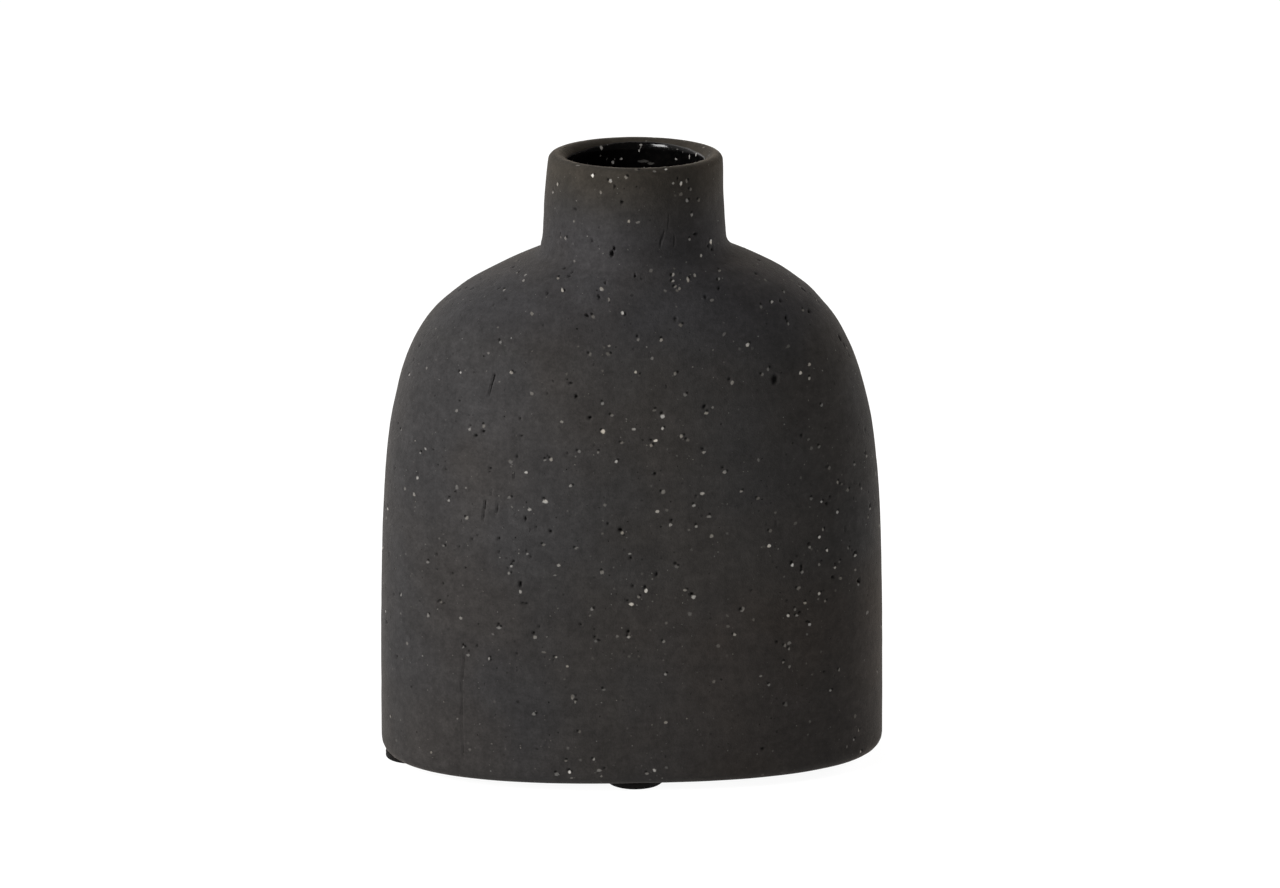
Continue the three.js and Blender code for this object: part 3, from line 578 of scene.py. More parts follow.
for n, (th, s, r, t, q) in enumerate(G_ALL):
    c, tu, tv = spot(th, s)
    k = near(c, r * 3)
    d = POS[k] - c
    u, w = d @ tu, d @ tv
    t *= float(np.interp(r, [.4, .5, .6, .7], [1.32, 1.17, 1.11, 1.07]))
    r = 0.9 * (0.187 + 0.733 * r)
    rr = ragged(np.hypot(u / (r * q ** 0.5), w / (r / q ** 0.5)), u, w, 0.2, n)
    f = np.clip(1 - rr, -1, 1)
    better = f > grain[k]
    grain[k[better]] = f[better]
    tone[k[better]] = t
    push[k] += 0.035 * np.clip(f * 2, 0, 1) * (1 if n % 3 else -1)
    if n % 5 < 3:       # a narrow gap on the upper side of the grain, where the clay has shrunk away; its colour is darkened as painted shade
        turn = math.pi / 2 + 1.1 * math.sin(2.4 * n)
        away = r + 0.06
        g = np.clip(1 - np.hypot(u - away * math.cos(turn), w - away * math.sin(turn)) / 0.54, -1, 1)
        pit_shade_mask[k] = np.maximum(pit_shade_mask[k], np.where(g > 0, g * 0.82, g))
        push[k] -= 0.10 * np.clip(g * 1.5, 0, 1)
for n, (th, s, rx, rz, dep) in enumerate(P_ALL):
    c, tu, tv = spot(th, s)
    R = max(rx, rz)
    k = near(c, R * 3)
    d = POS[k] - c
    u, w = d @ tu, d @ tv
    rr = ragged(np.hypot(u / rx, w / rz), u, w, 0.2, 1000 + n)
    f = np.clip(1 - rr, -1, 1)
    f = np.where(f > 0, f * min(1.0, dep / 0.48), f)
    pit_shade_mask[k] = np.maximum(pit_shade_mask[k], f)
    e = np.clip((1.12 - rr) / 0.55, 0, 1)
    push[k] -= dep * e * e * (3 - 2 * e)
for pts, dep in C_ALL:
    line = [spot(th, s)[0] for th, s, w in pts]
    mid, span = (line[0] + line[-1]) / 2, np.linalg.norm(line[-1] - line[0])
    k = near(mid, span * 0.6 + 1.5)
    best = np.full(len(k), 9.0)
    width = np.full(len(k), 0.1)
    for a, b, (ta, sa, wa), (tb, sb, wb) in zip(line[:-1], line[1:], pts[:-1], pts[1:]):
        ab = b - a
        t = np.clip(((POS[k] - a) @ ab) / (ab @ ab), 0, 1)
        dist = np.linalg.norm(POS[k] - (a + t[:, None] * ab), axis=1)
        sel = dist < best
        best[sel] = dist[sel]
        width[sel] = (wa + (wb - wa) * t)[sel]
    wob = np.array([mnoise.noise(Vector(POS[i]) * 1.6) for i in k])
    rr = best / np.maximum(0.03, width * (1 + 0.45 * wob))
    f = np.clip(1 - rr, -1, 1)
    f = np.where(f > 0, f * min(1.0, (dep / 0.5) ** 1.3), f)
    pit_shade_mask[k] = np.maximum(pit_shade_mask[k], f)
    e = np.clip((1.35 - rr) / 0.9, 0, 1)
    push[k] -= dep * e * e * (3 - 2 * e)

VERTS = POS + NRM * push[:, None]
ends = np.array([[0.0, 0.0, BASE_Z], [0.0, 0.0, FLOOR + BASE_Z]])
VERTS = np.concatenate([VERTS, ends])
grain, tone, pit_shade_mask = (np.concatenate([a, [v, v]]) for a, v in ((grain, -1.0), (tone, 0.0), (pit_shade_mask, -1.0)))


def new_object(name, verts, faces, smooth=True):
    me = bpy.data.meshes.new(name)
    me.from_pydata([tuple(map(float, p)) for p in np.asarray(verts) * MM], [], faces)
    me.validate()
    me.update()
    me.polygons.foreach_set("use_smooth", [smooth] * len(me.polygons))
    ob = bpy.data.objects.new(name, me)
    bpy.context.scene.collection.objects.link(ob)
    return ob


def attribute(ob, name, values):
    at = ob.data.attributes.new(name, "FLOAT", "POINT")
    at.data.foreach_set("value", np.asarray(values, np.float32))


body = new_object("vase_clay", VERTS, FACES)
attribute(body, "grain", grain)
attribute(body, "tone", tone)
attribute(body, "pit_shade_mask", pit_shade_mask)


def bake_map(ob):
    """A map of the clay that gives nearly all of the square to the outside."""
    me = ob.data
    uv = me.uv_layers.new(name="OFBake")
    gi = np.concatenate([GI / (N * K), [0.5, 0.5]])
    s = np.concatenate([V_S, [0.0, PROF.length]])
    s0, s1, s2 = MARK["round0"] - 2.0, MARK["in0"] + 2.0, PROF.length
    loops = np.zeros(len(me.loops), np.int64)
    me.loops.foreach_get("vertex_index", loops)
    start = np.zeros(len(me.polygons), np.int64)
    size = np.zeros(len(me.polygons), np.int64)
    me.polygons.foreach_get("loop_start", start)
    me.polygons.foreach_get("loop_total", size)
    out = np.zeros((len(loops), 2))
    for a, n in zip(start, size):
        q = loops[a:a + n]
        u = gi[q].copy()
        ss = s[q]
        real = q < len(GI)
        if u[real].max() - u[real].min() > 0.5:      # the cell that closes the round
            u[u < 0.5] += 1.0
        if not real.all():
            u[~real] = u[real].mean()
        m = ss.mean()
        if m < s0:
            v = 0.004 + 0.050 * np.clip(ss / s0, 0, 1)
        elif m > s1:
            v = 0.064 + 0.050 * np.clip((ss - s1) / (s2 - s1), 0, 1)
        else:
            v = 0.124 + 0.872 * np.clip((ss - s0) / (s1 - s0), 0, 1)
        out[a:a + n, 0] = 0.002 + 0.996 * u
        out[a:a + n, 1] = v
    uv.data.foreach_set("uv", out.astype(np.float32).ravel())


bake_map(body)


# ------------------------------------------------------------------ glaze skin
# Where the glaze ends on the inner rounding of the rim: (angle round the mouth, degrees from the crest, breadth of the dry edge).
GLAZE_LINE = np.array([
    (0, 64, .35), (25, 62, .35), (48, 53, .25), (70, 44, .18), (95, 44, .16), (113, 53, .30), (135, 66, .5), (160, 69, .5),
    (180, 64, .4), (225, 64, .3), (270, 65, .2), (315, 65, .3), (360, 64, .35)], float)
# Flecks in the glaze round the back of the mouth: (angle, height above the underside, half-width, half-height, paleness).
GLAZE_FLECKS = [
    (117.5, 151.3, .46, .76, .46), (111.0, 151.8, .24, .3, .18), (82.5, 151.5, .46, .32, .24), (84.0, 150.1, .28, .5, .42),
    (83.0, 150.8, .22, .44, .22), (118.5, 149.3, .26, .46, .22), (112.0, 148.3, .26, .5, .14), (99.0, 148.1, .4, .38, .46),
    (106.5, 147.3, .5, .5, .6), (104.5, 148.0, .3, .3, .4), (80.0, 147.4, 1.7, .42, .05), (73.0, 146.9, 1.0, .4, .06),
    (49.5, 148.6, .42, .32, .24), (33.5, 149.9, .32, .6, .36), (24.0, 150.9, .28, .60, .5), (42.5, 150.7, .2, .24, .1),
    (148.5, 151.5, .24, .24, .12),
]


def glaze_rows():
    """Rows of the glaze skin (tilt on the rim or None, height, half-width, half-depth, off the clay), clay side first."""
    rows = [(None, FLOOR + 0.03, 0.0, 0.0, 0.0)]
    rc, zc = MOUTH + LIP_IN, HEIGHT - LIP_IN

    def wall(e, heights):
        out = []
        for q in heights:
            t = np.clip((zc - q) / 9.0, 0, 1) if e > 0.1 else 1.0
            k = 0.10 + (e - 0.10) * t * t * (3 - 2 * t) if e > 0.1 else e
            a, b = inside(k)(np.array([q]))
            out.append((None, float(q), float(a[0]), float(b[0]), k))
        return out

    def corner(e):
        a, b = inside(e)(np.array([FLOOR + e + FLOOR_ROUND]))
        out = []
        for t in arc(8, 0, math.pi / 2):
            i = FLOOR_ROUND * (1 - math.sin(t))
            out.append((None, FLOOR + e + FLOOR_ROUND * (1 - math.cos(t)), float(a[0]) - i, float(b[0]) - i, e))
        return out

    def over(e_of, ks):
        return [(k, 0.0, rc, zc, e_of(k)) for k in ks]
    low = list(np.arange(20, 96, 7.0)) + list(np.arange(96, 140, 2.2))
    rows += corner(0.03) + wall(0.03, low + [145.0, zc - 0.2]) + over(lambda k: 0.03, [1.0, 0.6, 0.25, 0.0])
    skin = lambda k: 0.03 + 0.07 * math.sin(min(1.0, k / 0.3) * math.pi / 2)
    rows += over(skin, [0.012, 0.04, 0.085, 0.14, 0.20, 0.27, 0.35, 0.45, 0.55, 0.65, 0.75, 0.85, 0.95])
    rows += wall(0.49, list(np.arange(zc, 141.0, -0.34)) + low[::-1]) + corner(0.49)[::-1]
    rows.append((None, FLOOR + 0.49, 0.0, 0.0, 0.0))
    return rows


def glaze_object():
    n = 288
    th = np.linspace(0, 2 * math.pi, n, endpoint=False)
    verts, faces, rows, thin = [], [], [], []
    for k, z, a, b, e in glaze_rows():
        if k is None and a < 1e-9:
            rows.append([len(verts)])
            verts.append((float(lean(z)), 0, z + BASE_Z))
            thin.append(0.0)
            continue
        rows.append(list(range(len(verts), len(verts) + n)))
        for t in th:
            c, sn = math.cos(t), math.sin(t)
            if k is None:
                q = z
                u, v, _, _ = (float(w) for w in section(t, a, b))
            else:                                       # over the rounding; the glaze line is not quite level
                edge = float(np.interp(math.degrees(t), GLAZE_LINE[:, 0], GLAZE_LINE[:, 1]))
                edge += 3.0 * mnoise.noise(Vector((c * 2.3, sn * 2.3, 3.3))) + 2.0 * mnoise.noise(Vector((c * 7, sn * 7, 1.3)))
                ang = math.radians(edge + (90.0 - edge) * k)
                r = LIP_IN + e
                q = b + r * math.cos(ang)
                u, v = (a - r * math.sin(ang)) * c, (a - r * math.sin(ang)) * sn
            verts.append((float(lean(q)) + u, v, q + BASE_Z))
            broad = float(np.interp(math.degrees(t), GLAZE_LINE[:, 0], GLAZE_LINE[:, 2]))
            thin.append(0.0 if k is None else max(0.0, 1.0 - k / broad))
    for r0, r1 in zip(rows[:-1], rows[1:]):
        for i in range(n):
            k = (i + 1) % n
            if len(r0) == 1:
                faces.append((r0[0], r1[i], r1[k]))
            elif len(r1) == 1:
                faces.append((r0[i], r1[0], r0[k]))
            else:
                faces.append((r0[i], r1[i], r1[k], r0[k]))
    faces = [f[::-1] for f in faces]
    ob = new_object("vase_glaze", verts, faces)
    P = np.array(verts)
    val, ton = np.full(len(P), -1.0), np.zeros(len(P))
    ang = np.degrees(np.arctan2(P[:, 1], P[:, 0] - lean(P[:, 2] - BASE_Z)))
    rad = np.hypot(P[:, 1], P[:, 0] - lean(P[:, 2] - BASE_Z))
    flecks = list(GLAZE_FLECKS)
    for i in range(60):
        w = float(RNG.uniform(.16, .34))
        a0 = float(RNG.uniform(-180, 180))
        top = 146.0 if 0 < a0 < 180 else 151.0
        flecks.append((a0, float(RNG.uniform(139, top)), w, w * float(RNG.uniform(.8, 1.7)), float(RNG.uniform(.04, .25))))
    for n_, (a0, z0, w, h, t) in enumerate(flecks):
        da = (ang - a0 + 180) % 360 - 180
        u, v = np.radians(da) * rad, P[:, 2] - BASE_Z - z0
        k = np.nonzero((np.abs(u) < 3 * w) & (np.abs(v) < 3 * h) & (rad < 24))[0]
        d = np.clip(1 - ragged(np.hypot(u[k] / w, v[k] / h), u[k], v[k], 0.2, 3000 + n_), -1, 1)
        up = d > val[k]
        val[k[up]] = d[up]
        ton[k[up]] = t
    attribute(ob, "grain", val)
    attribute(ob, "tone", ton)
    # thin, dry glaze along its upper edge
    attribute(ob, "dry", thin)
    return ob


glaze = glaze_object()

# ------------------------------------------------------------------ foot pads
PAD_R, PAD_T = 7.1, 1.8
PADS = {"front": (-0.44, -24.38), "left": (-55.74, -2.31), "right": (54.4, 2.6), "back": (0.7, 24.6)}


def pad_object(name, cx, cy, seed):
    """A die-cut rubber disc: slightly waisted sides, soft edges, a pressed dimple underneath."""
    e = 0.42
    prof = [(0, 0.10), (1.0, 0.095), (2.2, 0.07), (3.2, 0.02), (3.8, 0.0), (5.2, 0.0), (PAD_R - e - 0.15, 0.0)]
    for t in np.linspace(-90, 0, 7):
        prof.append((PAD_R - e + e * math.cos(math.radians(t)), e + e * math.sin(math.radians(t))))
    prof += [(PAD_R - 0.05, PAD_T * 0.5)]
    for t in np.linspace(0, 90, 7):
        prof.append((PAD_R - e + e * math.cos(math.radians(t)), PAD_T - e + e * math.sin(math.radians(t))))
    prof += [(5.0, PAD_T), (2.5, PAD_T), (0, PAD_T)]
    n = 72
    verts, faces, rows = [], [], []
    for r, z in prof:
        if r == 0:
            rows.append([len(verts)])
            verts.append((cx, cy, z))
            continue
        rows.append(list(range(len(verts), len(verts) + n)))
        for i in range(n):
            t = 2 * math.pi * i / n
            d = 0.05 * mnoise.noise(Vector((math.cos(t) * 1.7, math.sin(t) * 1.7, seed))) if r > 6 else 0.0
            verts.append((cx + (r + d) * math.cos(t), cy + (r + d) * math.sin(t), z))
    for r0, r1 in zip(rows[:-1], rows[1:]):
        for i in range(n):
            k = (i + 1) % n
            if len(r0) == 1:
                faces.append((r0[0], r1[k], r1[i]))
            elif len(r1) == 1:
                faces.append((r0[i], r0[k], r1[0]))
            else:
                faces.append((r0[i], r0[k], r1[k], r1[i]))
    return new_object("pad_" + name, verts, faces)


pads = {k: pad_object(k, x, y, i * 5.0) for i, (k, (x, y)) in enumerate(PADS.items())}


# ------------------------------------------------------------------ materials
class Nodes:
    def __init__(self, name):
        self.m = bpy.data.materials.new(name)
        self.m.use_nodes = True
        self.t = self.m.node_tree
        self.t.nodes.clear()
        self.out = self.t.nodes.new("ShaderNodeOutputMaterial")
        self.bsdf = self.t.nodes.new("ShaderNodeBsdfPrincipled")
        self.t.links.new(self.bsdf.outputs[0], self.out.inputs[0])

    def new(self, kind, **props):
        n = self.t.nodes.new(kind)
        for k, v in props.items():
            setattr(n, k, v)
        return n

    def put(self, socket, value):
        if isinstance(value, bpy.types.NodeSocket):
            self.t.links.new(value, socket)
        else:
            socket.default_value = value

    def math(self, op, a, b=0.0, c=0.0, clamp=False):
        n = self.new("ShaderNodeMath", operation=op, use_clamp=clamp)
        for i, v in enumerate((a, b, c)):
            self.put(n.inputs[i], v)
        return n.outputs[0]

    def vec(self, op, a, b=None, scale=None):
        n = self.new("ShaderNodeVectorMath", operation=op)
        self.put(n.inputs[0], a)
        if b is not None:
            self.put(n.inputs[1], b)
        if scale is not None:
            self.put(n.inputs["Scale"], scale)
        return n.outputs[0]

    def ramp(self, x, a, b, lo=0.0, hi=1.0, smooth=False):
        n = self.new("ShaderNodeMapRange", interpolation_type="SMOOTHSTEP" if smooth else "LINEAR")
        for i, v in enumerate((x, a, b, lo, hi)):
            self.put(n.inputs[i], v)
        return n.outputs[0]

    def noise(self, co, scale, detail=2.0, rough=0.5, colour=False):
        n = self.new("ShaderNodeTexNoise")
        self.put(n.inputs["Vector"], co)
        n.inputs["Scale"].default_value = scale
        n.inputs["Detail"].default_value = detail
        n.inputs["Roughness"].default_value = rough
        return n.outputs["Color" if colour else "Fac"]

    def voronoi(self, co, scale):
        n = self.new("ShaderNodeTexVoronoi", feature="F1")
        self.put(n.inputs["Vector"], co)
        n.inputs["Scale"].default_value = scale
        sep = self.new("ShaderNodeSeparateColor")
        self.put(sep.inputs[0], n.outputs["Color"])
        return n.outputs["Distance"], sep.outputs[0], sep.outputs[1], sep.outputs[2]

    def mix(self, fac, a, b):
        n = self.new("ShaderNodeMix", data_type="RGBA")
        self.put(n.inputs[0], fac)
        self.put(n.inputs[6], a)
        self.put(n.inputs[7], b)
        return n.outputs[2]

    def mm(self):
        tc = self.new("ShaderNodeTexCoord")
        return self.vec("SCALE", tc.outputs["Object"], scale=1000.0)

    def attr(self, name):
        n = self.new("ShaderNodeAttribute", attribute_type="GEOMETRY", attribute_name=name)
        return n.outputs["Fac"]


def rgb(r, g, b):
    return (r, g, b, 1.0)


def clay_material():
    n = Nodes("unglazed_clay")
    mm = n.mm()
    low = n.noise(mm, 0.028, 2.0, 0.5)
    mid = n.noise(mm, 0.17, 5.0, 0.62)
    scuff = n.noise(mm, 0.62, 4.0, 0.65)
    finen = n.noise(mm, 1.7, 3.0, 0.65)
    sand = n.noise(mm, 4.2, 2.0, 0.6)
    hor = n.noise(n.vec("MULTIPLY", mm, (0.05, 0.05, 0.7)), 1.0, 3.0, 0.55)
    ver = n.noise(n.vec("MULTIPLY", mm, (0.55, 0.55, 0.06)), 1.0, 4.0, 0.6)
    # body colour: warm and cool clouds, faint wiping streaks, scuffs and sandy grain
    col = n.mix(n.ramp(low, 0.36, 0.64, 0, 1, True), rgb(0.0218, 0.0200, 0.0188), rgb(0.0206, 0.0198, 0.0197))
    col = n.vec("SCALE", col, scale=n.ramp(mid, 0.28, 0.72, 0.84, 1.16))
    col = n.vec("SCALE", col, scale=n.ramp(hor, 0.3, 0.7, 0.965, 1.035))
    col = n.vec("SCALE", col, scale=n.ramp(ver, 0.3, 0.7, 0.95, 1.05))
    col = n.vec("SCALE", col, scale=n.ramp(scuff, 0.28, 0.72, 0.80, 1.20))
    col = n.vec("SCALE", col, scale=n.ramp(finen, 0.3, 0.7, 0.82, 1.18))
    # the upper neck and rim are a little browner
    z = n.new("ShaderNodeSeparateXYZ")
    n.put(z.inputs[0], mm)
    col = n.vec("SCALE", col, scale=n.ramp(z.outputs[2], 128.0, 142.0, 1.0, 0.91, True))
    rim = n.ramp(z.outputs[2], 142.0, 153.5, 0.0, 0.9, True)
    col = n.mix(rim, col, n.vec("MULTIPLY", col, (1.04, 0.97, 0.82)))
    foot = n.math("MULTIPLY", n.ramp(z.outputs[2], 60.0, 38.0, 0.0, 0.9, True), n.ramp(z.outputs[0], -12.0, 26.0, 0.0, 1.0, True))
    col = n.mix(foot, col, n.vec("MULTIPLY", col, (1.07, 0.975, 0.90)))
    # painted shade: the bottom of the body on the right, away from the key light, is made up to 13% darker
    painted_shade_low_right = n.math("MULTIPLY", n.ramp(z.outputs[2], 24.0, 8.0, 0.0, 1.0, True), n.ramp(z.outputs[0], -25.0, 15.0, 0.0, 1.0, True))
    col = n.vec("SCALE", col, scale=n.math("MULTIPLY_ADD", painted_shade_low_right, -0.13, 1.0))
    # the foot of the neck and the left half are a little cooler
    collar = n.math("MULTIPLY", n.ramp(z.outputs[2], 106.0, 122.0, 0.0, 1.0, True), n.ramp(z.outputs[2], 136.0, 147.0, 1.0, 0.0, True))
    cool = n.math("MAXIMUM", collar, n.math("MULTIPLY", n.ramp(z.outputs[0], 4.0, -34.0, 0.0, 0.45, True), n.ramp(z.outputs[2], 125.0, 105.0, 0.0, 1.0, True)))
    col = n.mix(cool, col, n.vec("MULTIPLY", col, (0.99, 1.005, 1.07)))
    # painted light: the left of the body and a small patch on the left of the neck are made up to 20% paler where the
    # key light falls
    cloud = n.math("MULTIPLY", n.ramp(z.outputs[0], -51.0, -38.0, 0.0, 1.0, True), n.ramp(z.outputs[0], -24.0, -3.0, 1.0, 0.0, True))
    cloud = n.math("MULTIPLY", cloud, n.math("MULTIPLY", n.ramp(z.outputs[2], 42.0, 74.0, 0.0, 1.0, True), n.ramp(z.outputs[2], 102.0, 114.0, 1.0, 0.0, True)))
    neck = n.math("MULTIPLY", n.ramp(z.outputs[0], -17.0, -11.0, 0.0, 1.0, True), n.ramp(z.outputs[0], -9.0, 0.0, 1.0, 0.0, True))
    neck = n.math("MULTIPLY", neck, n.math("MULTIPLY", n.ramp(z.outputs[2], 118.0, 128.0, 0.0, 1.0, True), n.ramp(z.outputs[2], 140.0, 150.0, 1.0, 0.0, True)))
    col = n.vec("SCALE", col, scale=n.math("MULTIPLY_ADD", n.math("MAXIMUM", cloud, neck), 0.20, 1.0))
    # pale grains through the body of the clay, of three sizes
    warp = n.vec("SUBTRACT", n.noise(mm, 2.6, 1.0, 0.5, colour=True), (0.5, 0.5, 0.5))
    vc = n.vec("ADD", mm, n.vec("SCALE", warp, scale=0.45))
    dens = n.noise(mm, 0.05, 1.0, 0.5)

    def spots(shift, scale, r_min, r_var, edge, gate_lo, gate_hi):
        d, r, g, b = n.voronoi(n.vec("ADD", vc, shift), scale)
        rad = n.math("MULTIPLY_ADD", n.math("MULTIPLY", r, r), r_var, r_min)
        gate = n.math("GREATER_THAN", g, n.ramp(dens, 0.3, 0.7, gate_lo, gate_hi))
        return n.math("MULTIPLY", n.math("MULTIPLY", n.math("SUBTRACT", rad, d), edge, clamp=True), gate), b
    m1, b1 = spots((0.0, 0.0, 0.0), 0.36, 0.045, 0.085, 18.0, 0.80, 0.42)
    m2, b2 = spots((31.7, 12.1, 5.3), 0.80, 0.05, 0.13, 12.0, 0.66, 0.36)
    m4, b4 = spots((11.3, 57.7, 91.9), 0.33, 0.06, 0.12, 12.0, 0.55, 0.30)
    g0 = n.math("ADD", n.attr("grain"), n.ramp(finen, 0.3, 0.7, -0.20, 0.20))
    m0 = n.ramp(g0, -0.04, 0.46, 0.0, 1.0, True)
    t0 = n.math("MULTIPLY", m0, n.attr("tone"))
    t1 = n.math("MULTIPLY", m1, n.ramp(b1, 0.0, 1.0, 0.035, 0.15))
    t2 = n.math("MULTIPLY", m2, n.ramp(b2, 0.0, 1.0, 0.04, 0.19))
    t4 = n.math("MULTIPLY", m4, n.ramp(b4, 0.0, 1.0, 0.03, 0.11))
    pale = n.math("MAXIMUM", n.math("MAXIMUM", t0, t4), n.math("MAXIMUM", t1, t2))
    grain_col = n.mix(b1, rgb(0.42, 0.385, 0.33), rgb(0.50, 0.49, 0.47))
    col = n.mix(pale, col, grain_col)
    # small pits and short drag marks, with painted shade darkening the inside of these and of the pits, cracks and gaps
    # from the mesh
    m3, b3 = spots((77.0, 41.0, 23.0), 0.40, 0.035, 0.090, 26.0, 0.48, 0.32)
    tall = n.vec("MULTIPLY", n.vec("ADD", vc, (19.0, 63.0, 7.0)), (1.25, 1.25, 0.5))
    d5, r5, g5, b5 = n.voronoi(tall, 0.34)
    m5 = n.math("MULTIPLY", n.math("MULTIPLY", n.math("SUBTRACT", n.math("MULTIPLY_ADD", r5, 0.07, 0.03), d5), 24.0, clamp=True),
                n.math("GREATER_THAN", g5, 0.74))
    p0 = n.ramp(n.math("ADD", n.attr("pit_shade_mask"), n.ramp(finen, 0.3, 0.7, -0.12, 0.12)), -0.05, 0.62, 0.0, 1.0, True)
    m6, b6 = spots((5.9, 88.3, 47.1), 0.42, 0.075, 0.13, 10.0, 0.56, 0.34)
    small = n.math("MAXIMUM", n.math("MULTIPLY", m3, 0.78), n.math("MULTIPLY", m5, 0.50))
    small = n.math("MAXIMUM", small, n.math("MULTIPLY", m6, n.ramp(b6, 0.0, 1.0, 0.28, 0.62)))
    # painted shade: up to 90% darker inside the hollows
    painted_pit_shade = n.math("MULTIPLY", n.math("MAXIMUM", p0, small), n.math("SUBTRACT", 1.0, pale))
    col = n.vec("SCALE", col, scale=n.math("MULTIPLY_ADD", painted_pit_shade, -0.90, 1.0))
    n.put(n.bsdf.inputs["Base Color"], col)
    n.put(n.bsdf.inputs["Roughness"], n.math("ADD", n.ramp(finen, 0.3, 0.7, 0.78, 0.92), n.math("MULTIPLY", pale, -0.2)))
    n.bsdf.inputs["Specular IOR Level"].default_value = 0.12
    n.bsdf.inputs["Sheen Weight"].default_value = 0.06
    n.bsdf.inputs["Sheen Roughness"].default_value = 0.3
    n.bsdf.inputs["Sheen Tint"].default_value = rgb(1.0, 0.86, 0.70)
    h = n.math("MULTIPLY_ADD", finen, 0.9, n.math("MULTIPLY", sand, 0.55))
    h = n.math("MULTIPLY_ADD", scuff, 0.9, h)
    h = n.math("MULTIPLY_ADD", mid, 0.9, h)
    h = n.math("MULTIPLY_ADD", hor, 0.3, h)
    h = n.math("MULTIPLY_ADD", m3, -2.2, h)
    h = n.math("MULTIPLY_ADD", m5, -1.6, h)
    h = n.math("MULTIPLY_ADD", m6, -0.8, h)
    h = n.math("MULTIPLY_ADD", m1, 0.4, h)
    bump = n.new("ShaderNodeBump")
    bump.inputs["Strength"].default_value = 0.8
    bump.inputs["Distance"].default_value = 0.00012
    n.put(bump.inputs["Height"], h)
    n.put(n.bsdf.inputs["Normal"], bump.outputs[0])
    return n.m


def glaze_material():
    n = Nodes("black_glaze")
    mm = n.mm()
    warp = n.vec("SUBTRACT", n.noise(mm, 1.8, 1.0, 0.5, colour=True), (0.5, 0.5, 0.5))
    vc = n.vec("ADD", mm, n.vec("SCALE", warp, scale=0.6))
    d1, r1, g1, b1 = n.voronoi(vc, 0.30)
    rad = n.math("MULTIPLY_ADD", n.math("MULTIPLY", r1, r1), 0.13, 0.02)
    m1 = n.math("MULTIPLY", n.math("MULTIPLY", n.math("SUBTRACT", rad, d1), 26.0, clamp=True), n.math("GREATER_THAN", g1, 0.40))
    cloud = n.noise(mm, 0.18, 4.0, 0.6)
    col = n.mix(n.ramp(cloud, 0.35, 0.7), rgb(0.0007, 0.0007, 0.0008), rgb(0.0019, 0.0018, 0.0018))
    m0 = n.ramp(n.math("ADD", n.attr("grain"), n.ramp(n.noise(mm, 2.2, 2.0, 0.6), 0.3, 0.7, -0.2, 0.2)), -0.05, 0.5, 0.0, 1.0, True)
    pale = n.math("MAXIMUM", n.math("MULTIPLY", m0, n.attr("tone")), n.math("MULTIPLY", m1, n.ramp(b1, 0, 1, 0.01, 0.10)))
    col = n.mix(pale, col, rgb(0.62, 0.60, 0.57))
    dry = n.math("ADD", n.attr("dry"), n.ramp(n.noise(mm, 0.9, 3.0, 0.6), 0.3, 0.7, -0.22, 0.22), clamp=True)
    col = n.mix(n.math("MULTIPLY", dry, 0.75), col, rgb(0.0105, 0.0092, 0.0080))
    n.put(n.bsdf.inputs["Base Color"], col)
    gloss = n.ramp(n.noise(mm, 0.5, 3.0, 0.6), 0.3, 0.7, 0.07, 0.16)
    n.put(n.bsdf.inputs["Roughness"], n.math("MULTIPLY_ADD", dry, 0.55, gloss))
    n.bsdf.inputs["Specular IOR Level"].default_value = 0.5
    bump = n.new("ShaderNodeBump")
    bump.inputs["Strength"].default_value = 0.35
    bump.inputs["Distance"].default_value = 0.0003
    n.put(bump.inputs["Height"], n.math("MULTIPLY_ADD", m1, 0.4, n.noise(mm, 0.35, 2.0, 0.5)))
    n.put(n.bsdf.inputs["Normal"], bump.outputs[0])
    return n.m


def pad_material():
    n = Nodes("black_rubber")
    mm = n.mm()
    cell = n.noise(mm, 3.2, 3.0, 0.65)
    cloud = n.noise(mm, 0.35, 3.0, 0.6)
    col = n.mix(n.ramp(cloud, 0.35, 0.65), rgb(0.0016, 0.0014, 0.0013), rgb(0.0036, 0.0031, 0.0027))
    col = n.vec("SCALE", col, scale=n.ramp(cell, 0.3, 0.7, 0.7, 1.3))
    d1, r1, g1, b1 = n.voronoi(mm, 1.6)
    dust = n.math("MULTIPLY", n.math("MULTIPLY", n.math("SUBTRACT", n.math("MULTIPLY", r1, 0.14), d1), 30.0, clamp=True), n.math("GREATER_THAN", g1, 0.7))
    col = n.mix(n.math("MULTIPLY", dust, 0.25), col, rgb(0.05, 0.045, 0.04))
    n.put(n.bsdf.inputs["Base Color"], col)
    n.put(n.bsdf.inputs["Roughness"], n.ramp(cell, 0.3, 0.7, 0.6, 0.85))
    n.bsdf.inputs["Specular IOR Level"].default_value = 0.12
    bump = n.new("ShaderNodeBump")
    bump.inputs["Strength"].default_value = 0.5
    bump.inputs["Distance"].default_value = 0.00012
    n.put(bump.inputs["Height"], cell)
    n.put(n.bsdf.inputs["Normal"], bump.outputs[0])
    return n.m


